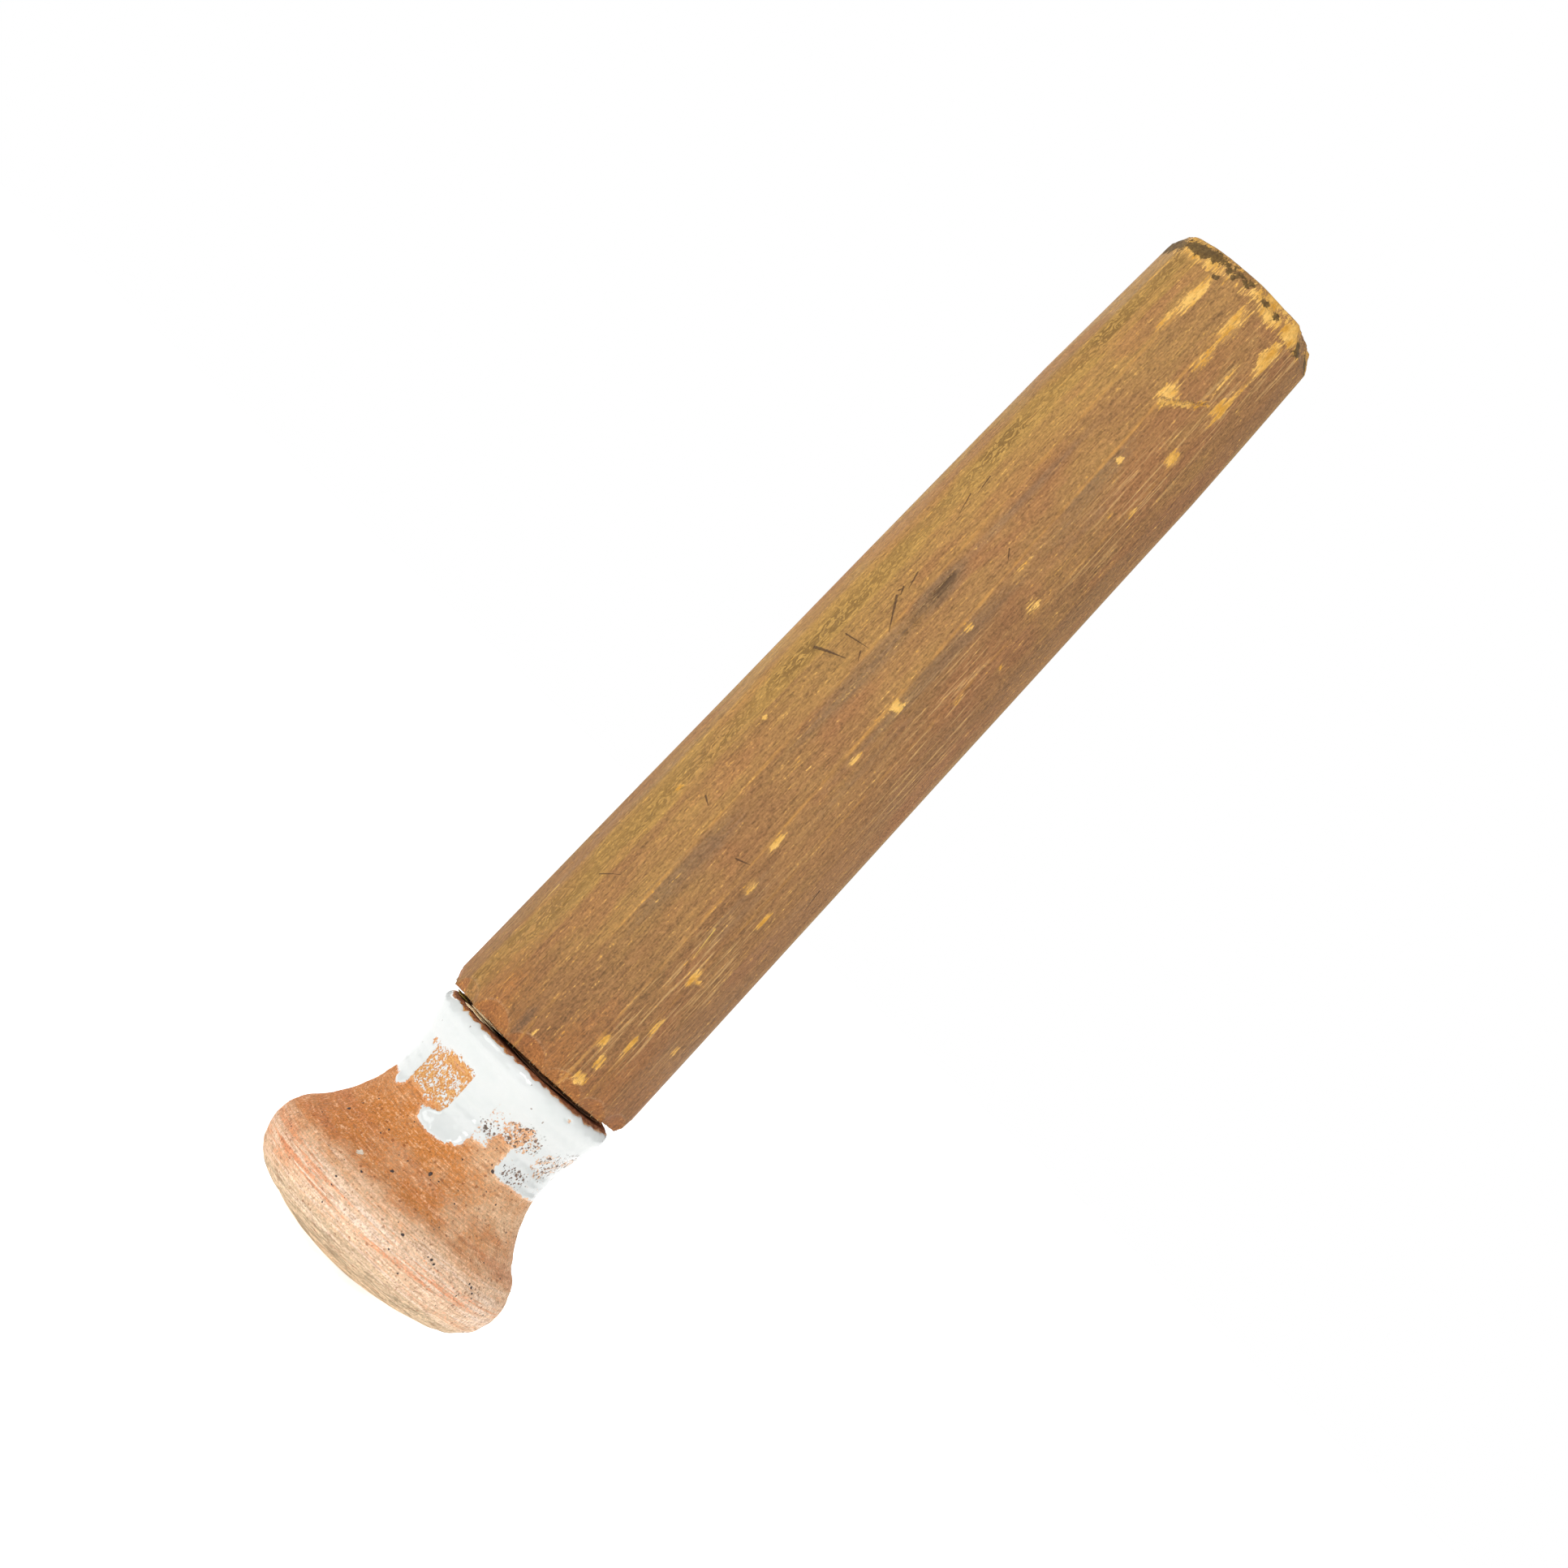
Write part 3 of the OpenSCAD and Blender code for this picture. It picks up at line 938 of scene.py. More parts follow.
def spot_tree() -> NodeTree:
    """Sets a small lump on every vertex of a mesh, sized by the number named girth.

    Returns:
        A tree with the inputs Geometry, Squash, Seed and Material.
    """
    inputs = {"Geometry": "NodeSocketGeometry", "Squash": 0.5, "Seed": 0, "Material": "NodeSocketMaterial"}
    w, into, out = node_group("set_spots", inputs, {"Geometry": "NodeSocketGeometry"}, "GeometryNodeTree")
    lump = w.add("GeometryNodeMeshIcoSphere", {"Radius": 1.0, "Subdivisions": 2})
    place = w.add("GeometryNodeInputPosition").outputs[0]
    knobs = w.add("ShaderNodeTexNoise", {"Vector": place, "Scale": 1.1, "Detail": 1.0})
    push = w.shade(w.vector("SUBTRACT", knobs.outputs["Color"], (0.5, 0.5, 0.5)), 1.1)
    lumpy = w.add("GeometryNodeSetPosition", {"Geometry": lump.outputs[0], "Offset": push})
    normal = w.add("GeometryNodeInputNamedAttribute", {"Name": "outward"}, data_type="FLOAT_VECTOR")
    upright = w.add("FunctionNodeAlignRotationToVector", {"Vector": normal.outputs[0]}, axis="Z")
    spin = w.add("FunctionNodeRandomValue", {2: 0.0, 3: math.tau, "Seed": into["Seed"]}, data_type="FLOAT")
    twist = w.add("ShaderNodeCombineXYZ", {2: spin.outputs[1]})
    turned = w.add("FunctionNodeEulerToRotation", {0: twist.outputs[0]})
    pose = w.add("FunctionNodeRotateRotation", {0: upright.outputs[0], 1: turned.outputs[0]},
                 rotation_space="LOCAL")
    girth = w.add("GeometryNodeInputNamedAttribute", {"Name": "girth"}, data_type="FLOAT")
    shape = w.add("ShaderNodeCombineXYZ", {0: 1.0, 1: 0.8, 2: into["Squash"]})
    size = w.shade(shape.outputs[0], girth.outputs[0])
    feeds = {"Points": into["Geometry"], "Instance": lumpy.outputs[0], "Rotation": pose.outputs[0],
             "Scale": size}
    spots = w.add("GeometryNodeInstanceOnPoints", feeds)
    shaded = w.add("GeometryNodeSetShadeSmooth", {"Geometry": spots.outputs[0], "Shade Smooth": True})
    close_tree(w, out, shaded.outputs[0], into["Material"])
    return w.tree


def path_mesh(name: str, paths: Sequence[Array], girths: Sequence[Array]) -> Mesh:
    """Makes a mesh of open paths, with a thickness at each point.

    Args:
        name: Name of the mesh.
        paths: Points of each path, in millimetres.
        girths: Half thickness at each of those points, in millimetres.

    Returns:
        The mesh, in metres.
    """
    points, edges = [], []
    for path in paths:
        first = len(points)
        points.extend((np.asarray(path) * MM).tolist())
        edges.extend((k, k + 1) for k in range(first, len(points) - 1))
    mesh = bpy.data.meshes.new(name)
    mesh.from_pydata(points, edges, [])
    paint(mesh, "girth", np.concatenate(girths) * MM)
    return mesh


# ---------------------------------------------------------------- the head

@dataclass(frozen=True)
class ThrownOutline:
    """Outline of the head, a chain of arcs that touch, in millimetres."""

    foot_d: float
    foot_h: float = 13.9
    foot_round_r: float = 10.4
    waist_d: float = 37.8
    waist_sweep_r: float = 26.5
    collar_d: float = 42.4
    collar_round_r: float = 6.0
    rim_rise: float = 3.0
    rim_round_r: float = 1.2
    step: float = 0.42

    def centres(self) -> dict[str, Array]:
        """Centres of the arcs, each worked out from its neighbours.

        Returns:
            Radius and height of each centre, by the name of its arc.
        """
        foot = np.array([self.foot_d / 2 - self.foot_round_r, self.foot_h])
        reach = foot[0] ** 2 + self.foot_h ** 2 - self.foot_round_r ** 2
        dome = np.array([0.0, reach / (2 * (self.foot_h - self.foot_round_r))])
        waist_x = self.waist_d / 2 + self.waist_sweep_r
        drop = math.sqrt((self.waist_sweep_r + self.foot_round_r) ** 2 - (waist_x - foot[0]) ** 2)
        waist = np.array([waist_x, self.foot_h + drop])
        collar_x = self.collar_d / 2 - self.collar_round_r
        lift = math.sqrt((self.waist_sweep_r + self.collar_round_r) ** 2 - (waist_x - collar_x) ** 2)
        collar = np.array([collar_x, waist[1] + lift])
        rise = self.rim_rise - self.rim_round_r
        inset = math.sqrt((self.collar_round_r - self.rim_round_r) ** 2 - rise ** 2)
        return {"dome": dome, "foot": foot, "waist": waist, "collar": collar, "rim": collar + [inset, rise]}

    def arc(self, centre: Array, radius: float, start: float, end: float) -> Array:
        """Points and outward normals along an arc, from one angle to another in radians.

        Args:
            centre: Centre of the arc.
            radius: Its radius.
            start: Angle at which it starts.
            end: Angle at which it ends.

        Returns:
            Rows of radius, height, and the two parts of the normal.
        """
        count = max(4, round(abs(end - start) * radius / self.step))
        a = np.linspace(start, end, count, endpoint=False)
        out = np.stack([np.cos(a), np.sin(a)], axis=1)
        hollow = -1.0 if centre[0] > self.foot_d / 2 else 1.0
        return np.hstack([centre + radius * out, hollow * out])

    def outside(self) -> Array:
        """The outside from the middle of the face up to the rim: radius, height and outward normal.

        Returns:
            Rows of radius, height, and the two parts of the normal.
        """
        c = self.centres()

        def angle(a: Array, b: Array) -> float:
            """Angle of the line from a to b."""
            return math.atan2(b[1] - a[1], b[0] - a[0])

        flank = angle(c["foot"], c["waist"])
        neck = angle(c["collar"], c["waist"])
        shoulder = angle(c["collar"], c["rim"])
        dome_r = float(c["dome"][1])
        return np.vstack([
            self.arc(c["dome"], dome_r, -math.pi / 2 + 0.003, angle(c["dome"], c["foot"])),
            self.arc(c["foot"], self.foot_round_r, angle(c["dome"], c["foot"]), flank),
            self.arc(c["waist"], self.waist_sweep_r, math.pi + flank, math.pi + neck),
            self.arc(c["collar"], self.collar_round_r, neck, shoulder),
            self.arc(c["rim"], self.rim_round_r, shoulder, math.pi / 2),
        ])


class ClaySurface:
    """Worked surface of the head: where it lies, and how it is toned."""

    def __init__(self, outline: ThrownOutline) -> None:
        """Keeps the outline and its points."""
        self.outline = outline
        self.rows = outline.outside()

    def relief(self, place: Array, direction: Array) -> Array:
        """Height of the worked surface over the true outline, never above it.

        Args:
            place: Points on the true outline, in millimetres.
            direction: Their directions.

        Returns:
            A height of zero or less, in millimetres.
        """
        z = place[..., 2]
        rings = ripple(place, 1.15, 3, (0.05, 0.05, 1.0)) * 0.055 + ripple(place, 2.6, 4,
                                                                           (0.05, 0.05, 1.0)) * 0.075
        lumps = ripple(place, 9.0, 5) * 0.09
        level = z + 0.35 * np.sin(np.radians(direction - 20)) + 0.12 * ripple(place, 14.0, 6)
        groove = -0.16 * hump(level - 23.3, 0.28)
        groove -= 0.09 * smooth(level, 23.2, 22.6) * smooth(level, 20.5, 22.4)
        groove -= 0.07 * hump(level - 18.3, 0.3)
        radius = np.hypot(place[..., 0], place[..., 1])
        across = np.radians(turn(direction, -45.2)) * radius
        spot = np.hypot(across, (z - 16.2) * 1.15)
        curl = -0.34 * hump(spot, 1.5) + 0.13 * hump(spot - 2.7, 0.55) * smooth(z, 15.6, 17.4)
        chip = -0.35 * self.blob(place, direction, -27.7, 21.9, 0.75, 0.55)
        knock = -0.5 * self.blob(place, direction, 74.0, 9.5, 2.2, 1.4)
        knock -= 0.4 * self.blob(place, direction, 172.0, 11.0, 2.6, 1.2)
        ground = -0.10 * smooth(z, 7.5, 4.0) * (1 + ripple(place, 1.6, 8, (0.4, 0.4, 1.0)))
        worked = np.minimum(rings + lumps + groove + curl + chip + knock + ground - 0.17, 0.0)
        return worked * smooth(z, 0.0, 1.2)

    @staticmethod
    def blob(place: Array, direction: Array, a: float, z: float, wide: float, tall: float) -> Array:
        """A soft round spot of height 1 at direction a and height z, wide and tall being half sizes."""
        across = np.radians(turn(direction, a)) * np.hypot(place[..., 0], place[..., 1])
        return smooth(np.hypot(across / wide, (place[..., 2] - z) / tall), 1.25, 0.3)

    def blush(self, place: Array, direction: Array) -> Array:
        """How toasted the clay is, 0 to 1: most on the left flank, least low on the right.

        Args:
            place: Points, in millimetres.
            direction: Directions of the points, in degrees.

        Returns:
            The toast, 0 to 1.
        """
        z = place[..., 2]
        side = 0.5 + 0.42 * np.cos(np.radians(direction + 62))
        belt = smooth(z, 15.0, 24.0) * 0.5 + 0.18
        low_left = 0.5 * near(direction, -84, 56, 14) * smooth(z, 3.5, 8.0)
        return np.clip(side * 0.85 * belt * 1.7 + low_left + 0.12 * ripple(place, 7.0, 9), 0, 1)


@dataclass
class StonewareHead:
    """The thrown head, with its blind socket."""

    surface: ClaySurface
    socket_d: float
    socket_low_z: float
    rim_z: float
    columns: int = 400
    sockets_rows: int = 14

    def build(self, finish: StonewareFinish, groups: Groups) -> Object:
        """Throws the outline with geometry nodes, works its surface and dresses it.

        Args:
            finish: Its finish.
            groups: The shared node groups.

        Returns:
            The finished head.
        """
        outside = self.surface.rows
        socket_r = self.socket_d / 2
        last_r = outside[-1, 0]
        ledge = [(r, self.rim_z, 0, 0) for r in np.linspace(last_r - 0.3, socket_r, 10)]
        wall = [(socket_r, z, 0, 0)
                for z in np.linspace(self.rim_z, self.socket_low_z, self.sockets_rows)[1:]]
        floor = [(r, self.socket_low_z, 0, 0) for r in (socket_r * 0.6, socket_r * 0.25, 0.2)]
        rows = np.vstack([outside, ledge, wall, floor])
        seed = bpy.data.meshes.new("outline")
        seed.from_pydata([(r * MM, z * MM, 0.0) for r, z in rows[:, :2]],
                         [(k, k + 1) for k in range(len(rows) - 1)], [])
        paint(seed, "row", np.arange(len(rows)))
        piece = grow("stoneware_head", seed, throwing_tree(), {"Columns": self.columns})
        mesh = piece.data
        row = np.zeros(len(mesh.vertices), np.float32)
        mesh.attributes["row"].data.foreach_get("value", row)
        row = np.rint(row).astype(int)
        co = np.zeros(len(mesh.vertices) * 3)
        mesh.vertices.foreach_get("co", co)
        co = co.reshape(-1, 3)
        direction = np.degrees(np.arctan2(co[:, 0], -co[:, 1]))
        line = rows[row]
        place = around(direction, line[:, 0], line[:, 1])
        on_outside = row < len(outside)
        lift = np.where(on_outside, self.surface.relief(place, direction),
                        0.06 * ripple(place, 0.9, 12) - 0.06)
        lift[row > len(outside) + 9] = 0.0
        up = np.where(on_outside, line[:, 3], 1.0)
        moved = around(direction, line[:, 0] + line[:, 2] * lift, line[:, 1] + up * lift)
        moved[:, 2] = np.maximum(moved[:, 2], 0.0)
        mesh.vertices.foreach_set("co", (moved * MM).ravel())
        self.mend(mesh)
        paint(piece.data, "blush", self.surface.blush(place, direction))
        edge = 54.3 + 0.25 * ripple(place, 2.2, 14) + 0.2 * ripple(place, 0.7, 15)
        paint(piece.data, "iron", smooth(place[:, 2], edge - 0.6, edge + 0.3))
        paint(piece.data, "chip", self.surface.blob(place, direction, -27.7, 21.9, 0.9, 0.6))
        finish_piece(piece, finish.build(groups), "stoneware", "head")
        return piece

    @staticmethod
    def mend(mesh: Mesh) -> None:
        """Closes the two poles and turns all faces outwards.

        Args:
            mesh: The mesh to mend.
        """
        work = bmesh.new()
        work.from_mesh(mesh)
        bmesh.ops.holes_fill(work, edges=[e for e in work.edges if e.is_boundary])
        bmesh.ops.triangulate(work, faces=[f for f in work.faces if len(f.verts) > 4])
        bmesh.ops.recalc_face_normals(work, faces=work.faces)
        for face in work.faces:
            face.smooth = True
        work.to_mesh(mesh)
        work.free()


@dataclass(frozen=True)
class GlazeRun:
    """One run of glaze below the band: its two sides, its lowest height, and how white it is."""

    left: float
    right: float
    low_z: float
    body: float = 1.0


@dataclass(frozen=True)
class GlazeGap:
    """A place where the glaze crawled away or stayed thin."""

    direction: float
    z: float
    half_width: float
    half_height: float
    depth: float = 1.0


@dataclass
class GlazeCoat:
    """The fused skin of glaze on the collar and its runs over the waist."""

    surface: ClaySurface
    low_z: float
    top_z: float
    thickness: float = 0.38
    columns: int = 560
    hem_z: float = 46.6
    runs: tuple[GlazeRun, ...] = tuple(GlazeRun(*run) for run in (
        (-100, -70, 38.4), (-84, -50.5, 36.4), (-64, -50, 34.8), (-53, -15, 37.0, 0.34),
        (-19.5, 5, 34.2), (2, 17, 37.6, 0.6), (12, 36, 41.0, 0.42), (27, 84, 35.0, 0.72),
        (84, 104, 39.6), (104, 128, 36.0, 0.8),
        (130, 150, 41.5, 0.6), (150, 172, 33.6), (186, 204, 36.8), (204, 226, 40.8, 0.7),
        (226, 247, 34.4),
    ))
    gaps: tuple[GlazeGap, ...] = tuple(GlazeGap(*gap) for gap in (
        (-55.4, 45.8, 1.1, 1.0, 0.66), (-29, 46.6, 4.6, 1.6, 0.5), (31, 44.6, 3.4, 3.4, 0.22),
        (20, 40.2, 2.2, 1.6, 0.3), (58, 42.5, 4.6, 3.4, 0.22), (76, 46.0, 2.6, 2.4, 0.3),
        (38, 52.6, 1.3, 0.6, 0.6), (140, 45.0, 3.0, 2.6, 0.5), (215, 44.0, 3.4, 2.4, 0.6),
    ))

    pored: tuple[tuple[float, float, float], ...] = (
        (62, 43.0, 4.2), (43, 37.2, 2.6), (30, 44.5, 3.2), (72, 46.0, 3.0), (14, 41.5, 2.0), (118, 41, 4.0),
        (196, 44, 4.0),
    )

    def cover(self, place: Array, direction: Array) -> Array:
        """How much glaze lies at each point: 1 is a full coat, 0 none, less than 0 well outside it.

        Args:
            place: Points, in millimetres.
            direction: Directions of the points, in degrees.

        Returns:
            The cover at each point.
        """
        z = place[..., 2]
        radius = np.hypot(place[..., 0], place[..., 1])
        wobble = 0.2 * ripple(place, 2.6, 21) + 0.06 * ripple(place, 0.8, 22)
        inside = np.minimum(z - self.hem_z, 4.0)
        body = np.ones_like(z)
        for run in self.runs:
            middle = (run.left + run.right) / 2
            half = np.radians((run.right - run.left) / 2) * radius
            across = half - np.abs(np.radians(turn(direction, middle)) * radius)
            depth = self.blend(across, z - run.low_z, 2.0)
            body = np.where(depth > inside,
                            1 + (run.body - 1) * smooth(z, self.hem_z + 1.5, self.hem_z - 1.5), body)
            inside = np.maximum(inside, depth)
        foot = 1 - np.hypot(np.radians(turn(direction, -14.6)) * radius / 4.9, (z - 35.0) / 2.35)
        body = np.where(foot > 0, 1.0, body)
        inside = np.maximum(inside, foot * 2.6)
        inside += wobble
        inside = np.minimum(inside, (self.top_z - z) * 1.4 + 0.4 * ripple(place, 1.5, 23) + 0.25)
        cover = smooth(inside, -0.25, 0.75) * body - smooth(inside, 0.0, -1.4)
        for gap in self.gaps:
            across = np.radians(turn(direction, gap.direction)) * radius
            spot = np.hypot(across / gap.half_width, (z - gap.z) / gap.half_height)
            cover = cover - gap.depth * smooth(spot + 0.16 * wobble, 1.25, 0.55)
        return cover

    @staticmethod
    def blend(a: Array, b: Array, radius: float) -> Array:
        """Depth inside two half planes at once, with the corner between them rounded."""
        inner = np.minimum(a, b)
        near_a, near_b = np.clip(radius - a, 0, None), np.clip(radius - b, 0, None)
        rounded = radius - np.hypot(near_a, near_b)
        return np.where((near_a > 0) & (near_b > 0), rounded, inner)

    def build(self, finish: GlazeFinish, groups: Groups) -> Object:
        """Makes the skin as a closed shell that is kept only where there is glaze.

        Args:
            finish: Its finish.
            groups: The shared node groups.

        Returns:
            The finished skin.
        """
        line = self.surface.rows
        line = line[(line[:, 1] > self.low_z) & (line[:, 1] < self.top_z + 0.9)]
        steps = np.linspace(0, len(line) - 1, round(len(line) * 1.75))
        line = np.stack([np.interp(steps, np.arange(len(line)), line[:, k]) for k in range(4)], axis=1)
        direction = np.broadcast_to(np.arange(self.columns) * 360 / self.columns, (len(line), self.columns))
        radius, z, out_r, out_z = (np.broadcast_to(line[:, k][:, None], direction.shape) for k in range(4))
        place = around(direction, radius, z)
        cover = self.cover(place, direction)
        relief = self.surface.relief(place, direction)
        full = np.sqrt(np.clip(1 - (1 - np.clip(cover, 0, 1)) ** 2, 0, 1))
        bead = 0.16 * ripple(place, 3.2, 25) + 0.05 * ripple(place, 1.2, 26)
        skin = self.thickness * (0.62 + 0.38 * np.clip(cover, 0, 1)) + 0.35 * bead * full
        thick = np.where(cover > 0, full * skin, cover * 0.3)
        outer = relief + np.clip(thick, -0.2, self.thickness + 0.12)
        inner = relief - 0.3
        keep = cover > -0.25
        rows, columns = direction.shape
        solid = keep[:-1] | keep[1:]
        solid = solid | np.roll(solid, -1, axis=1)
        count = rows * columns
        faces, edges = [], {}
        for face, kept in zip(grid_faces(rows, columns), solid.ravel()):
            if kept:
                faces.append(face)
                faces.append(tuple(k + count for k in reversed(face)))
                for a, b in zip(face, face[1:] + face[:1]):
                    if edges.pop((b, a), None) is None:
                        edges[(a, b)] = True
        faces.extend((b, a, a + count, b + count) for a, b in edges)
        shells = [around(direction, radius + out_r * lift, z + out_z * lift).reshape(-1, 3)
                  for lift in (outer, inner)]
        used = np.unique(np.concatenate([np.asarray(f) for f in faces]))
        renumber = np.full(2 * count, -1)
        renumber[used] = np.arange(len(used))
        piece = mesh_object("white_glaze", np.vstack(shells)[used], [tuple(renumber[list(f)]) for f in faces])
        toast = near(direction, -36, 26, 15) * smooth(z, 36, 39)
        crowd = (smooth(np.hypot(turn(direction, a) / 15, (z - h) / tall), 1.3, 0.2) for a, h,
                 tall in self.pored)
        marks = {"cover": np.clip(cover, 0, 1), "blush": self.surface.blush(place, direction), "toast": toast,
                 "pores": 0.06 + 0.94 * np.maximum.reduce(list(crowd))}
        for name, values in marks.items():
            paint(piece.data, name, np.tile(values.ravel(), 2)[used])
        finish_piece(piece, finish.build(groups), "white_glaze", "glaze_coat")
        return piece


@dataclass
class IronSpots:
    """Dark iron spots that stand out of the clay and the glaze."""

    surface: ClaySurface
    seed: int = 41
    scattered: int = 150
    known: tuple[tuple[float, float, float], ...] = (
        (29.2, 35.6, 0.62), (2.0, 27.7, 0.5), (-56.2, 25.1, 0.42), (-11.6, 23.4, 0.45), (57.7, 50.8, 0.26),
        (13.4, 45.9, 0.3), (27.3, 52.9, 0.2), (-30.0, 27.9, 0.26), (21.0, 26.5, 0.22), (-19.0, 19.6, 0.3),
        (9.5, 16.4, 0.4), (47.6, 16.8, 0.36), (24.6, 16.7, 0.34), (26.4, 16.3, 0.3), (-24.0, 15.6, 0.28),
        (49.5, 16.2, 0.3), (45.7, 17.2, 0.28), (118.0, 27.0, 0.5), (164.0, 20.0, 0.55), (203.0, 30.0, 0.42),
        (236.0, 18.5, 0.5), (255.0, 26.0, 0.36), (95.0, 19.0, 0.4),
    )

    def build(self, material: Material) -> Object:
        """Sets the spots with geometry nodes.

        Args:
            material: Its finish.

        Returns:
            The finished spots.
        """
        rng = np.random.default_rng(self.seed)
        rows = self.surface.rows
        spots = list(self.known)
        spots += [(rng.uniform(-180, 180), rng.uniform(7, 40), rng.uniform(0.1, 0.24))
                  for _ in range(self.scattered)]
        points, outward = [], []
        for a, z, _ in spots:
            row = rows[np.argmin(np.abs(rows[:, 1] - z) + (rows[:, 0] < 15) * 99)]
            place = around(np.array(a), row[0], row[1])
            depth = float(self.surface.relief(place, np.array(a)))
            points.append(around(np.array(a), row[0] + row[2] * depth, row[1] + row[3] * depth) * MM)
            outward.append(around(np.array(a), row[2], row[3]))
        mesh = bpy.data.meshes.new("spots")
        mesh.from_pydata([tuple(p) for p in points], [], [])
        paint(mesh, "girth", np.array([size for _, _, size in spots]) * MM)
        paint(mesh, "outward", np.array(outward), "FLOAT_VECTOR")
        piece = grow("iron_spots", mesh, spot_tree(), {"Squash": 0.42, "Seed": self.seed})
        finish_piece(piece, material, "stoneware")
        return piece


# ---------------------------------------------------------------- the handle

@dataclass(frozen=True)
class Patch:
    """A worn or stained place on the handle: direction, height, half sizes in millimetres, and strength."""

    kind: Wear
    direction: float
    z: float
    half_width: float
    half_height: float
    strength: float = 1.0


def patches(kind: Wear, *places: tuple[float, ...]) -> list[Patch]:
    """Lists places of one kind."""
    return [Patch(kind, *place) for place in places]


PATCHES = [
    *patches(
        Wear.OCHRE,
        (15, 119, 0.9, 2.6), (-46, 113.9, 0.6, 0.8), (21, 109.5, 1.3, 2.3, 0.8), (40.6, 106.5, 0.7, 2.9),
        (24.5, 94, 0.5, 5.0, 0.62), (33, 89.5, 0.9, 2.8), (36, 89.3, 1.6, 0.6, 0.9), (36, 77.5, 0.7, 2.6),
        (32.3, 71.8, 0.7, 2.6), (19.8, 69, 0.7, 1.9), (25.8, 65.3, 1.0, 2.2, 0.85), (23.6, 60.2, 1.6, 1.7),
        (-61.6, 71.8, 0.4, 1.2, 0.8), (-55, 60.6, 0.5, 1.1, 0.8), (-8.7, 60.8, 0.4, 1.0, 0.8),
        (60, 76, 1.3, 1.2, 0.6), (11, 174.5, 1.1, 1.3, 0.75), (12.5, 154, 1.2, 1.4), (15.2, 141, 0.7, 2.4),
        (-36.5, 135, 0.8, 0.6, 0.85), (43, 173, 1.0, 1.8, 0.5), (35, 163, 0.8, 2.4, 0.52),
        (4, 233.6, 2.3, 3.3), (32, 225.5, 1.6, 2.2), (36, 212.5, 0.6, 1.9, 0.7), (9, 218, 0.9, 0.8, 0.8),
        (27, 209, 0.6, 1.2, 0.6), (11.5, 189, 0.9, 4.2, 0.55), (30, 186, 1.8, 2.2, 0.5),
        (-25.5, 251.5, 1.5, 6.2), (-28, 244.5, 0.7, 4.0, 0.9), (3.5, 252, 1.9, 6.0, 0.95),
        (4.5, 243.5, 1.4, 4.2, 0.8), (34, 252.5, 1.9, 4.6), (23.5, 244, 0.4, 7.0, 0.7),
        (34.5, 241, 0.8, 6.5, 0.8), (33, 238.8, 1.5, 2.5), (45, 241.5, 1.3, 0.7, 0.6),
        (-61, 252, 0.5, 5.5, 0.9), (98, 236, 1.0, 5.0, 0.8), (128, 250, 1.6, 6.5), (160, 247, 1.0, 7.0, 0.8),
        (187, 252, 2.2, 5.0), (221, 249, 1.2, 7.0, 0.9), (247, 244, 0.8, 6.0, 0.7), (104, 96, 0.8, 3.0),
        (132, 70, 1.2, 2.2), (151, 128, 0.8, 3.4, 0.8), (176, 62, 1.5, 1.8), (194, 152, 0.9, 2.6),
        (213, 91, 0.8, 3.6, 0.9), (236, 118, 0.7, 2.4, 0.8), (252, 68, 0.9, 2.0), (112, 178, 0.8, 3.2, 0.7),
        (168, 201, 1.0, 2.6, 0.8), (229, 186, 0.9, 2.8, 0.7),
    ),
    *patches(
        Wear.SOOT,
        (-80, 258.4, 7.0, 2.7, 1.2), (-47, 259.6, 5.6, 1.7, 1.2), (-34, 260.2, 3.4, 1.4, 1.0),
        (-20, 259.8, 3.4, 1.5, 0.72), (-9, 260.2, 2.6, 1.2, 0.7), (9, 259.6, 1.5, 0.8, 0.8),
        (19, 259.4, 1.2, 0.9, 0.8), (49, 258.2, 2.2, 1.9, 0.95), (-24, 256.8, 1.2, 0.8, 0.6),
        (78, 258.5, 3.4, 1.7), (104, 259.0, 4.0, 1.8), (143, 258.2, 5.0, 2.0), (171, 259.4, 2.6, 1.4),
        (203, 258.6, 4.4, 2.1), (234, 259.2, 3.6, 1.5), (262, 258.4, 3.8, 1.9),
    ),
    *patches(
        Wear.SMOKE,
        (-14, 176, 2.6, 9.0, 1.0), (-13, 150, 2.6, 26.0, 0.75), (-14.5, 202, 2.0, 22.0, 0.6),
        (-9, 104, 3.4, 22.0, 0.8), (14, 165, 2.2, 30.0, 0.75), (21, 150, 3.6, 26.0, 0.5),
        (7.5, 214, 2.4, 14.0, 0.7), (16, 205, 3.8, 16.0, 0.5), (-9.0, 111.1, 3.0, 1.4, 1.0),
        (-16.8, 61.0, 1.5, 4.5, 1.1), (24, 104, 3.6, 14.0, 0.5), (48, 150, 4.0, 40.0, 0.4),
        (126, 140, 5.0, 34.0, 0.6), (182, 110, 5.0, 40.0, 0.6), (228, 170, 4.0, 30.0, 0.6),
    ),
]


@dataclass(frozen=True)
class KnifeCut:
    """One hollow cut at an end of the handle: direction and half width in degrees, the rest in mm."""

    direction: float
    half_a: float
    height: float
    depth: float


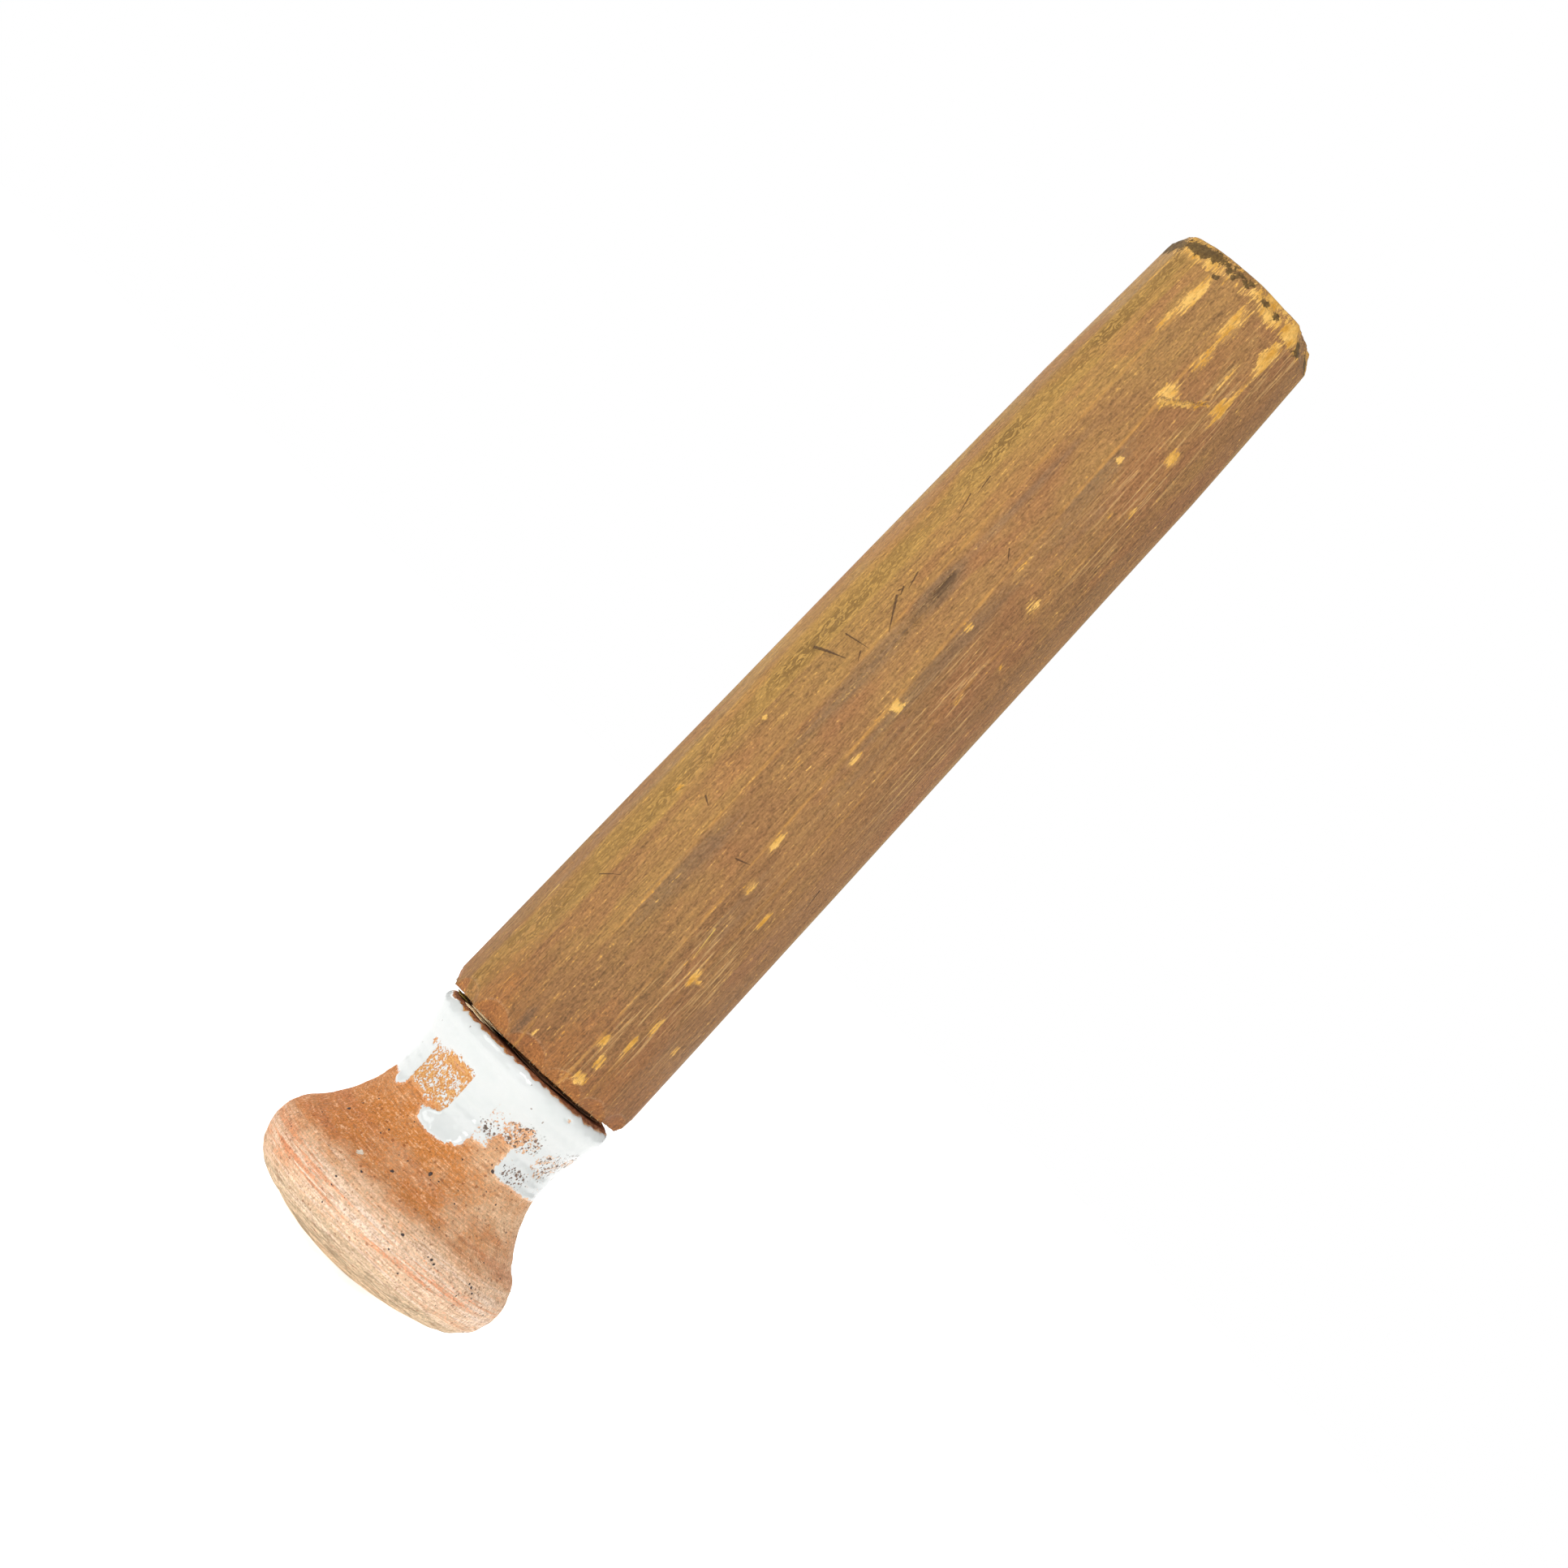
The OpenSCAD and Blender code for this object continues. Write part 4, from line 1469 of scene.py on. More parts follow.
def ring_of_cuts(first: Sequence[KnifeCut], end: float, pitch: float, typical: KnifeCut,
                 seed: int) -> list[KnifeCut]:
    """Continues a row of cuts round the back with cuts of a typical size.

    Args:
        first: The cuts already listed.
        end: Direction at which the row closes.
        pitch: Angle between two cuts.
        typical: Size that the cuts vary around.
        seed: Picks the variation.

    Returns:
        All the cuts.
    """
    rng = np.random.default_rng(seed)
    cuts = list(first)
    a = cuts[-1].direction + pitch
    while a < end:
        vary = rng.uniform(0.8, 1.2, 3)
        cuts.append(KnifeCut(a, typical.half_a * vary[0], typical.height * vary[1], typical.depth * vary[2]))
        a += pitch * rng.uniform(0.88, 1.12)
    return cuts


@dataclass
class PlanedHandle:
    """The handle with its tenon, planed from one billet and eased at both ends with a knife."""

    arris_a: Sequence[float]
    low_z: float
    top_z: float
    tenon_low_z: float
    low_d: float
    mid_d: float
    top_d: float
    tenon_d: float = 21.6
    last_l: float = 33.0
    low_ease: float = 3.8
    top_ease: float = 5.0
    columns: int = 330
    crown: float = 0.3
    drift: tuple[float, ...] = (1.5, 0.5, -1.2, -7.0, -9.0, 0.6, 4.0, -2.0, 3.5, -3.0, 2.0, -4.5, 3.0, -1.0,
                                4.0, -2.5)
    low_cuts: tuple[KnifeCut, ...] = tuple(KnifeCut(*cut) for cut in (
        (-84, 12, 3.2, 1.5), (-57, 12.5, 3.7, 1.8), (-31, 12.6, 4.3, 1.9),
        (-5.5, 12.4, 4.2, 1.8), (20.5, 12.0, 3.9, 1.7), (43, 11.5, 3.5, 1.7),
    ))
    top_cuts: tuple[KnifeCut, ...] = tuple(KnifeCut(*cut) for cut in (
        (-84, 24, 3.2, 1.5), (-48, 17, 3.0, 1.3), (-14, 16, 2.8, 1.2), (17, 16, 3.2, 1.4),
        (68, 31, 5.2, 3.6),
    ))
    butt_round: tuple[float, float] = (3.0, 1.15)

    def cuts(self) -> tuple[list[KnifeCut], list[KnifeCut]]:
        """All the cuts round the shoulder and all those round the butt."""
        return (ring_of_cuts(self.low_cuts, 268, 24, KnifeCut(0, 12, 3.8, 1.7), 33),
                ring_of_cuts(self.top_cuts, 250, 33, KnifeCut(0, 19, 4.8, 2.6), 34))

    def corner_r(self, z: Array) -> Array:
        """Distance from the axis to an arris at height z.

        Args:
            z: Heights of the points, in millimetres.

        Returns:
            The distances.
        """
        knee = self.top_z - self.top_ease - self.last_l
        heights = [self.low_z + self.low_ease, knee, self.top_z - self.top_ease]
        radii = np.array([self.low_d, self.mid_d, self.top_d]) / 2
        low_slope = (radii[1] - radii[0]) / (heights[1] - heights[0])
        top_slope = (radii[2] - radii[1]) / (heights[2] - heights[1])
        low_end = radii[0] + low_slope * (self.low_z - heights[0])
        top_end = radii[2] + top_slope * self.top_ease
        return np.interp(z, [self.low_z, *heights, self.top_z], [low_end, *radii, top_end])

    def arris_at(self, z: Array) -> Array:
        """Directions of the arrises at each height, along the last axis; some wander as they rise."""
        mid = (self.low_z + self.top_z) / 2
        return np.asarray(self.arris_a) + (np.asarray(z)[..., None] - mid) / 100 * np.asarray(self.drift)

    def facets(self, direction: Array, z: Array) -> tuple[Array, Array, Array]:
        """Finds the flat that each point lies on.

        Args:
            direction: Directions of the points, in degrees.
            z: Heights of the points, in millimetres.

        Returns:
            The flat's number, the share of the way across it, and its width in degrees.
        """
        arris = self.arris_at(z)
        rel = (direction[..., None] - arris[..., :1]) % 360
        starts = (arris - arris[..., :1]) % 360
        number = (rel >= starts).sum(-1) - 1
        begin = np.take_along_axis(starts, number[..., None], -1)[..., 0]
        ends = np.concatenate([starts[..., 1:], np.full_like(starts[..., :1], 360.0)], -1)
        finish = np.take_along_axis(ends, number[..., None], -1)[..., 0]
        return number, (rel[..., 0] - begin) / (finish - begin), finish - begin

    def cut_depth(self, direction: Array, rise: Array, cuts: Sequence[KnifeCut]) -> Array:
        """Depth cut away at a distance rise from an end.

        Args:
            direction: Directions of the points, in degrees.
            rise: Distances from the end, in millimetres.
            cuts: The cuts to make.

        Returns:
            The depths, in millimetres.
        """
        depth = np.zeros_like(rise)
        for cut in cuts:
            over = self.arch(direction, cut) - rise
            depth = np.maximum(depth, cut.depth / cut.height * np.clip(over, 0, None))
        return depth

    @staticmethod
    def arch(direction: Array, cut: KnifeCut) -> Array:
        """Height that a cut reaches at each direction; less than 0 beside it."""
        side = np.abs(turn(direction, cut.direction)) / cut.half_a
        return np.where(side < 1, cut.height * np.sqrt(np.clip(1 - side ** 2, 0, 1)), cut.height * (1 - side))

    def radius(self, direction: Array, z: Array) -> Array:
        """Distance from the axis to the surface, in millimetres.

        Args:
            direction: Directions of the points, in degrees.
            z: Heights of the points, in millimetres.

        Returns:
            The distances.
        """
        corner = self.corner_r(z)
        _, share, width = self.facets(direction, z)
        half = np.radians(width / 2)
        flat = corner * np.cos(half) / np.cos((share - 0.5) * 2 * half)
        to_arris = np.minimum(share, 1 - share) * np.radians(width) * corner
        eased = np.clip(1 - to_arris / 0.9, 0, 1) ** 2 * 0.08
        r = flat + self.crown * (corner - flat) - eased
        place = around(direction, corner, z)
        r += 0.06 * ripple(place, 14.0, 31, (1, 1, 0.35)) + 0.022 * ripple(place, 2.2, 32, (1, 1, 0.1)) - 0.06
        low_cuts, top_cuts = self.cuts()
        ragged = 0.12 * ripple(place, 0.9, 35)
        r -= self.cut_depth(direction, z - self.low_z + ragged, low_cuts)
        below = self.top_z - z
        tall, inward = self.butt_round
        rounded = inward * (1 - np.sqrt(np.clip(1 - np.clip(1 - below / tall, 0, 1) ** 2, 0, 1)))
        r -= np.maximum(self.cut_depth(direction, below + ragged, top_cuts), rounded)
        r -= self.gouge(direction, z, corner) + 0.5 * self.crack(direction, z)
        chewed = smooth(self.top_z - z, 5.5, 1.0) * smooth(ripple(place, 1.7, 36), 0.1, 0.9)
        r -= 0.2 * chewed
        return np.minimum(r, corner)

    def gouge(self, direction: Array, z: Array, corner: Array) -> Array:
        """Depth of the slanting tear near the butt.

        Args:
            direction: Directions of the points, in degrees.
            z: Heights of the points, in millimetres.
            corner: Distance of the arrises from the axis.

        Returns:
            The depths, in millimetres.
        """
        along = TEAR.share(direction)
        inside = smooth(along, 0.0, 0.12) * smooth(along, 1.0, 0.8)
        torn = 0.35 * ripple(around(direction, corner, z), 1.0, 37)
        return 0.62 * inside * hump(z - TEAR.height(direction) + torn, 0.62)

    @staticmethod
    def crack(direction: Array, z: Array) -> Array:
        """The long dark split on the front, 0 to 1.

        Args:
            direction: Directions of the points, in degrees.
            z: Heights of the points, in millimetres.

        Returns:
            The depth of the split, 0 to 1.
        """
        side = np.abs(direction + 13.4 + (z - 175) * 0.1)
        split = smooth(side, 2.7, 1.2) * smooth(np.abs(z - 174.2), 7.4, 5.6)
        places = ((-12.6, 171.0), (-10.4, 168.4), (-11.4, 165.6))
        pits = sum(smooth(np.hypot((direction - a) * 0.36, z - h), 0.75, 0.3) for a, h in places)
        return np.clip(split + pits, 0, 1)

    def tones(self, direction: Array, z: Array, place: Array) -> dict[str, Array]:
        """All the numbers that the wood's finish reads, each as an array like direction.

        Args:
            direction: Directions of the points, in degrees.
            z: Heights of the points, in millimetres.
            place: Points, in millimetres.

        Returns:
            The numbers, by the name under which they are painted.
        """
        number, share, width = self.facets(direction, z)
        rng = np.random.default_rng(51)
        gold = rng.uniform(0.2, 0.6, len(self.arris_a))
        dark = rng.uniform(0.25, 0.6, len(self.arris_a))
        gold[:7] = (0.62, 0.92, 0.46, 0.3, 0.24, 0.2, 0.16)
        # The front flats' dark values are painted shade, rising towards the right-hand flats away from the
        # key light; the other flats' values vary at random.
        dark[:7] = (0.2, 0.0, 0.12, 0.14, 0.2, 0.3, 0.36)
        reddish = smooth(z, 92, 60)
        # Painted shade on the flats, with slow random unevenness and more darkness towards the shoulder.
        flat_shade_and_tone = dark[number] + 0.12 * ripple(place, 16, 53, (1, 1, 0.3)) + 0.26 * smooth(z, 130, 75)
        tone = {
            "gold": gold[number] * (1 - 0.35 * reddish) + 0.1 * ripple(place, 18, 52, (1, 1, 0.4)),
            "dark": np.clip(flat_shade_and_tone, 0, 1),
        }
        to_arris = np.minimum(share, 1 - share) * np.radians(width) * self.corner_r(z)
        lit = rng.uniform(0.15, 0.6, len(self.arris_a) + 1)
        lit[1:7] = (0.45, 0.3, 0.75, 0.85, 0.6, 0.4)
        nearest = number + (share > 0.5)
        ridge = lit[nearest % len(self.arris_a)] * smooth(to_arris, 0.6, 0.08)
        tone["ridge"] = ridge * smooth(self.top_z - z, 5, 8)
        side = smooth(np.abs(direction - 38), 32, 12)
        tone["scraped"] = side * smooth(ripple(place, 8, 61, (1, 1, 0.4)), -0.6, 0.9)
        centre = -54.5 + 6.5 * np.cos((z - 150) / 60)
        tone["figure"] = smooth(np.abs(direction - centre), 8.5, 4.5) * (0.75 + 0.25 * ripple(place, 9, 54))
        back = near(direction, 146, 9.0, 4.5) + near(direction, 232, 7.0, 4.0)
        tone["figure"] = np.clip(tone["figure"] + 0.8 * back, 0, 1)
        radius = self.corner_r(z)
        for kind in Wear:
            total = np.zeros_like(z)
            for patch in (p for p in PATCHES if p.kind is kind):
                across = np.radians(turn(direction, patch.direction)) * radius / patch.half_width
                spot = np.hypot(across, (z - patch.z) / patch.half_height)
                total = np.maximum(total, patch.strength * smooth(spot, 1.35, 0.25))
            tone[kind.value] = total
        rise = z - self.low_z
        over = np.maximum.reduce([self.arch(direction, cut) - rise for cut in self.cuts()[0]])
        tone["lip"] = smooth(np.abs(over - 0.1), 0.4, 0.08) * smooth(rise, 0.4, 1.2)
        tone[Wear.RUST.value] = np.clip(0.5 * smooth(over, 0.0, 0.7) + 0.5 * smooth(z, 84, 58), 0, 1)
        left, right = (np.abs(turn(direction, a)) for a in (-48, 24))
        worn_side = 0.38 + 0.5 * smooth(left, 34, 16) + 0.5 * smooth(right, 32, 12)
        worn_side = np.where(np.abs(turn(direction, 180)) < 100, 0.8, np.clip(worn_side, 0, 1))
        rubbed_end = smooth(self.top_z - z, 6.4, 3.2) * worn_side * (0.8 + 0.3 * ripple(place, 3.0, 55))
        tone[Wear.OCHRE.value] = np.maximum(tone[Wear.OCHRE.value], rubbed_end)
        torn = self.gouge(direction, z, radius)
        tone[Wear.OCHRE.value] = np.maximum(tone[Wear.OCHRE.value], smooth(torn, 0.02, 0.2) * 0.8)
        split = smooth(ripple(place, 1.2, 56, (1, 1, 0.2)), -0.9, 0.2)
        tone["crack"] = 0.8 * self.crack(direction, z) * split
        return tone

    def build(self, finish: HandleWoodFinish, groups: Groups) -> Object:
        """Makes the closed mesh, its unrolled map and its painted numbers, and dresses it.

        Args:
            finish: Its finish.
            groups: The shared node groups.

        Returns:
            The finished handle.
        """
        low = self.low_z + np.concatenate([np.linspace(0, 6, 22, endpoint=False), [6]])
        high = self.top_z - np.linspace(8, 0, 26)
        middle = np.linspace(low[-1], high[0], 214)[1:-1]
        heights = np.concatenate([low, middle, high])
        direction = np.broadcast_to(np.arange(self.columns) * 360 / self.columns - 180,
                                    (len(heights), self.columns))
        z = np.broadcast_to(heights[:, None], direction.shape)
        radius = self.radius(direction, z)
        side = around(direction, radius, z)
        frayed = 0.16 * ripple(side[0], 0.8, 57)
        side[0, :, 2] += np.clip(frayed, 0.0, 0.25)
        butt_rows = [self.end_ring(direction[0], radius[-1], share) for share in np.linspace(0.97, 0.03, 26)]
        tenon_r = self.tenon_d / 2
        shoulder_r = [tenon_r + (radius[0] - tenon_r) * k for k in (0.0, 0.35, 0.7)]
        shoulder = [around(direction[0], r, self.low_z + 0.05) for r in shoulder_r]
        tenon = [around(direction[0], np.full(self.columns, tenon_r * k), self.tenon_low_z)
                 for k in (0.03, 0.6, 0.97)]
        tenon.append(around(direction[0], np.full(self.columns, tenon_r), self.tenon_low_z + 0.5))
        rings = tenon + shoulder + list(side) + butt_rows
        points = np.vstack(rings)
        first, last = len(points), len(points) + 1
        points = np.vstack([points, [[0, 0, self.tenon_low_z], [0, 0, butt_rows[-1][:, 2].mean()]]])
        rows, columns = len(rings), self.columns
        faces = grid_faces(rows, columns)
        end = (rows - 1) * columns
        faces += [((j + 1) % columns, j, first) for j in range(columns)]
        faces += [(end + j, end + (j + 1) % columns, last) for j in range(columns)]
        piece = mesh_object("wood_handle", points, faces)
        self.unroll(piece, points, direction[0])
        tones = self.tones(direction, z, side)
        below, above = len(tenon) + len(shoulder), len(butt_rows)
        butt = np.vstack(butt_rows)
        for name, values in tones.items():
            inner = np.zeros((below, columns))
            top = np.repeat(values[-1][None], above, 0)
            if name == Wear.OCHRE.value:
                bared = smooth(np.linspace(0.97, 0.03, above), 0.72, 0.98)[:, None]
                top = 0.75 * bared + np.zeros((above, columns))
            if name == Wear.SOOT.value:
                top = 0.62 + 0.4 * ripple(butt, 5.0, 58).reshape(above, columns)
            if name in ("ridge", "figure", "crack", "lip", "scraped", Wear.RUST.value):
                top = top * 0
            flat = np.concatenate([inner.ravel(), values.ravel(), top.ravel(), [0.0, float(top[-1].mean())]])
            paint(piece.data, name, flat)
        finish_piece(piece, finish.build(groups), "handle_wood", "handle")
        return piece

    def end_ring(self, direction: Array, rim: Array, share: float) -> Array:
        """One ring of the butt, share of the way out from the axis; it is slightly domed and rough.

        Args:
            direction: Directions of the points, in degrees.
            rim: Distance of the rim from the axis.
            share: Share of the way out from the axis.

        Returns:
            Points of the ring, in millimetres.
        """
        place = around(direction, rim * share, np.full_like(direction, self.top_z))
        dome = 0.5 * (share ** 4) * 0.6
        rough = 0.05 * ripple(place, 0.9, 59) + 0.07 * ripple(place, 3.5, 60)
        place[:, 2] = self.top_z - np.clip(0.14 + dome * 0.5 - rough, 0.0, 0.6) * (1 - share ** 8 * 0.8)
        return place

    def unroll(self, piece: Object, points: Array, direction: Array) -> None:
        """Lays the surface out flat in a UV map: once round is 1, and so is the height of the top.

        Args:
            piece: The handle.
            points: Its points, in millimetres.
            direction: Not used.
        """
        mesh = piece.data
        layer = mesh.uv_layers.new(name="unrolled")
        corners = np.zeros(len(mesh.loops), int)
        mesh.loops.foreach_get("vertex_index", corners)
        a = np.degrees(np.arctan2(points[:, 0], -points[:, 1]))
        u = ((a + 180) / 360) % 1.0
        column = np.arange(len(points)) % self.columns
        u = np.where(np.arange(len(points)) < len(points) - 2, column / self.columns, u)
        coordinates = np.stack([u[corners], points[corners, 2] / self.top_z], axis=1)
        starts = np.zeros(len(mesh.polygons), int)
        totals = np.zeros(len(mesh.polygons), int)
        mesh.polygons.foreach_get("loop_start", starts)
        mesh.polygons.foreach_get("loop_total", totals)
        owner = np.repeat(np.arange(len(starts)), totals)
        widest = np.zeros(len(starts))
        np.maximum.at(widest, owner, coordinates[:, 0])
        coordinates[:, 0] += ((widest[owner] > 0.75) & (coordinates[:, 0] < 0.25)).astype(float)
        layer.data.foreach_set("uv", coordinates.astype(np.float32).ravel())


# ---------------------------------------------------------------- what lies in the joint

@dataclass
class JointPacking:
    """Layers of packing round the tenon, slivers driven in beside it, and loose fibres at the torn places."""

    rim_z: float
    shoulder_z: float
    tenon_r: float
    strands: NodeTree

    def layers(self, material: Material) -> Object:
        """Dark curled strips wound in the gap, thinning towards their ends.

        Args:
            material: Its finish.

        Returns:
            The finished layers.
        """
        rng = np.random.default_rng(71)
        gap = self.shoulder_z - self.rim_z
        paths, girths = [], []
        for level in range(4):
            for start in np.arange(-12.0, 262.0, 45.0):
                begin = start + rng.uniform(-10, 10)
                a = np.linspace(begin, begin + rng.uniform(40, 62), 16)
                share = np.linspace(0, 1, 16)
                radius = rng.uniform(14.6, 16.6) + 1.3 * np.sin(share * math.pi) + rng.uniform(-0.4, 0.4)
                z = self.rim_z + gap * (0.2 + 0.2 * level) + 0.05 * np.sin(share * 7 + rng.uniform(0, 6))
                paths.append(around(a, radius, z))
                girths.append(np.clip(1.9 * np.sin(share * math.pi) ** 0.5, 0.25, None))
        for begin, end, out_r, z in ((-14, 8, 18.3, 0.35), (-10, 14, 18.6, 0.62), (4, 30, 18.4, 0.5),
                                     (16, 44, 18.2, 0.72)):
            a = np.linspace(begin, end, 16)
            share = np.linspace(0, 1, 16)
            paths.append(around(a, out_r + 0.25 * np.sin(share * 9),
                                self.rim_z + gap * z + 0.09 * np.sin(share * 8)))
            girths.append(np.clip(0.75 * np.sin(share * math.pi) ** 0.6, 0.12, None))
        values = {"Steps": 2, "Bend": 0.00025, "Flatness": 0.085, "Seed": 7.0}
        piece = grow("packing_layers", path_mesh("packing_paths", paths, girths), self.strands, values)
        finish_piece(piece, material, "packing", "packing_wrap")
        return piece

    def sliver(self, name: str, slot: str, material: Material, span: tuple[float, float],
               radii: tuple[float, float], heights: tuple[float, float], count: int, seed: int) -> Object:
        """A split sliver of wood lying in the gap, made of strands that part at their ends.

        Args:
            name: Name of the piece, which is also that of the CAD node it replaces.
            slot: Name of its material slot, which is only logged.
            material: Its finish.
            span: Directions of its butt and its tip.
            radii: Distances of its inner and outer edge from the axis, in millimetres.
            heights: Heights of its lower and upper face, in millimetres.
            count: Number of strands.
            seed: Picks their lengths.

        Returns:
            The piece.
        """
        rng = np.random.default_rng(seed)
        paths, girths = [], []
        for k in range(count):
            share = (k + 0.5) / count
            begin = span[0] + rng.uniform(-2.5, 1.5)
            end = span[1] + rng.uniform(-9, 3) - 9 * abs(share - 0.55)
            a = np.linspace(begin, end, 14)
            along = np.linspace(0, 1, 14)
            radius = radii[0] + (radii[1] - radii[0]) * share + rng.uniform(-0.2, 0.2) - 0.7 * along ** 2
            mid = (heights[0] + heights[1]) / 2 + rng.uniform(-0.09, 0.09)
            z = mid + 0.1 * np.sin(along * 5 + seed) + rng.uniform(-0.08, 0.08) * along
            paths.append(around(a, radius, z))
            girths.append(np.interp(along, [0, 0.1, 0.6, 1], [0.26, 0.5, 0.38, 0.05]) * rng.uniform(0.7, 1.1))
        values = {"Steps": 2, "Bend": 0.0004, "Flatness": 0.36, "Seed": float(seed)}
        piece = grow(name + "_split", path_mesh(name, paths, girths), self.strands, values)
        finish_piece(piece, material, slot, name)
        return piece

    def frayed_edge(self, handle: PlanedHandle, material: Material) -> Object:
        """Short broken fibres round the shoulder's edge, in the tear near the butt and at the crack.

        Args:
            handle: The handle, for the place of its surface.
            material: Its finish.

        Returns:
            The finished fibres.
        """
        rng = np.random.default_rng(81)
        paths, girths = [], []

        def fibre(a: float, z: float, length: float, lean: float, lift: float, girth: float) -> None:
            """Adds one fibre that starts in the wood and stands a little off it.

            Args:
                a: Direction of its root.
                z: Heights of the points, in millimetres.
                length: How far it reaches along the grain.
                lean: How far it turns aside, in degrees.
                lift: How far its tip stands off.
                girth: Half its thickness.
            """
            share = np.linspace(0, 1, 5)
            direction = a + lean * share
            root = handle.radius(np.array([[a]]), np.array([[z]]))[0, 0] - 0.06
            paths.append(around(direction, root + lift * share ** 2, z + length * share))
            girths.append(np.interp(share, [0, 0.7, 1], [girth, girth * 0.8, 0.01]))

        for a in np.arange(-180.0, 180.0, 1.35):
            if rng.uniform() < 0.62:
                fibre(a + rng.uniform(-0.6, 0.6), handle.low_z + rng.uniform(0.3, 0.9),
                      -rng.uniform(0.35, 0.95),
                      rng.uniform(-1, 1), 0.03, 0.07)
        for a in np.arange(1.5, 26.0, 0.62):
            z = TEAR.height(a) + 0.3
            fibre(a, z + rng.uniform(-0.5, 0.2), rng.uniform(0.5, 1.5), rng.uniform(-2, 2),
                  rng.uniform(0.1, 0.4), 0.075)
            fibre(a, z + rng.uniform(0.2, 0.7), -rng.uniform(0.4, 1.1), rng.uniform(-2, 2),
                  rng.uniform(0.1, 0.3), 0.06)
        for _ in range(26):
            fibre(rng.uniform(-19, -11.5), rng.uniform(168, 180), rng.uniform(1.0, 2.6), rng.uniform(-1, 1),
                  0.12, 0.06)
        values = {"Steps": 1, "Bend": 0.0001, "Flatness": 0.7, "Seed": 3.0}
        piece = grow("frayed_fibres", path_mesh("fibre_paths", paths, girths), self.strands, values)
        finish_piece(piece, material, "handle_wood")
        return piece


# ---------------------------------------------------------------- studio

@dataclass(frozen=True)
class SoftBox:
    """An area light: where it stands, its size in metres, its power in watts."""

    name: str
    place: tuple[float, float, float]
    size: tuple[float, float]
    power: float


@dataclass
class Studio:
    """Pale floor, white surround, soft lights and the camera."""

    eye: Vector = field(default_factory=lambda: Vector((-0.00115, -0.78, 0.115)))
    target: Vector = field(default_factory=lambda: Vector((-0.00115, 0.0, 0.1286)))
    lean_deg: float = 46.7
    lens_mm: float = 90.9
    floor_glow: float = 0.72
    world_glow: float = 0.42
    boxes: tuple[SoftBox, ...] = (
        SoftBox("key", (-0.75, -0.75, 0.62), (0.5, 0.7), 3.7),
        SoftBox("front", (0.05, -1.05, 0.30), (0.16, 0.30), 1.1),
        SoftBox("side", (0.95, -0.45, 0.45), (0.5, 0.8), 1.5),
        SoftBox("top", (0.0, 0.25, 1.15), (0.9, 0.9), 2.3),
        SoftBox("behind", (-0.3, 1.0, 0.6), (0.9, 0.7), 3.0),
    )

    def build(self) -> None:
        """Makes everything and sets the camera."""
        self.floor()
        self.surround()
        for box in self.boxes:
            self.light(box)
        self.camera()
        bpy.context.scene.view_settings.view_transform = "Standard"

    def floor(self) -> None:
        """A wide disc at the height of the working face, with a softly uneven pale coat."""
        rings = [0.001, 0.5, 2.0, 6.0, 14.0]
        count = 64
        points = np.vstack([around(np.arange(count) * 360 / count, np.full(count, r * 1000), -0.02)
                            for r in rings])
        faces = [tuple(face) for face in grid_faces(len(rings), count)]
        floor = mesh_object("floor", points, [tuple(reversed(f)) for f in faces] + [tuple(range(count))])
        if floor.data.polygons[0].normal.z < 0:
            floor.data.flip_normals()
        material, w = new_material("pale_floor")
        place = w.add("ShaderNodeTexCoord").outputs["Object"]
        color = w.mix(w.noise(place, 3.0, 3.0), srgb(246, 246, 246), srgb(249, 249, 249))
        w.surface(color, 0.9, None, 0.1, Emission_Color=(1.0, 1.0, 1.0, 1.0),
                  Emission_Strength=self.floor_glow)
        dress(floor, material)

    def surround(self) -> None:
        """White to the camera, softer as a light."""
        world = bpy.data.worlds.new("surround")
        bpy.context.scene.world = world
        world.use_nodes = True
        w = Wires(world.node_tree)
        world.node_tree.nodes.clear()
        seen = w.add("ShaderNodeBackground", {0: (1.0, 1.0, 1.0, 1.0), 1: 1.0})
        glow = w.add("ShaderNodeBackground", {0: (1.0, 1.0, 1.0, 1.0), 1: self.world_glow})
        path = w.add("ShaderNodeLightPath")
        both = w.add("ShaderNodeMixShader",
                     {0: path.outputs["Is Camera Ray"], 1: glow.outputs[0], 2: seen.outputs[0]})
        w.feed(w.add("ShaderNodeOutputWorld").inputs[0], both.outputs[0])

    def light(self, box: SoftBox) -> None:
        """One soft box, aimed at the middle of the object."""
        data = bpy.data.lights.new(box.name, "AREA")
        data.shape = "RECTANGLE"
        data.size, data.size_y = box.size
        data.energy = box.power
        lamp = stand(box.name, data)
        lamp.location = box.place
        lamp.rotation_euler = (Vector((0, 0, 0.12)) - Vector(box.place)).to_track_quat("-Z", "Y").to_euler()

    def camera(self) -> None:
        """Camera that leans, so that the upright pestle lies across the picture."""
        forward = (self.target - self.eye).normalized()
        level = forward.cross(Vector((0, 0, 1))).normalized()
        upright = level.cross(forward)
        a = math.radians(self.lean_deg)
        right = level * math.sin(a) + upright * math.cos(a)
        up = upright * math.sin(a) - level * math.cos(a)
        data = bpy.data.cameras.new("view")
        data.lens = self.lens_mm
        data.sensor_width = 36.0
        data.clip_start = 0.05
        data.clip_end = 60.0
        lens = stand("view", data)
        lens.matrix_world = Matrix.Translation(self.eye) @ Matrix((right, up, -forward)).transposed().to_4x4()
        bpy.context.scene.camera = lens


# ---------------------------------------------------------------- putting it together

def arris_directions(node: Object, z: float) -> list[float]:
    """Reads the directions of the handle's arrises from its corners at one height.

    Args:
        node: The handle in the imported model.
        z: Height of a ring of corners, in metres.

    Returns:
        Directions in degrees, rising, from -90 to 270.
    """
    found = {round(math.degrees(math.atan2(v.co.x, -v.co.y)), 1) for v in node.data.vertices
             if abs(v.co.z - z) < 2e-5}
    return sorted((a + 90) % 360 - 90 for a in found)


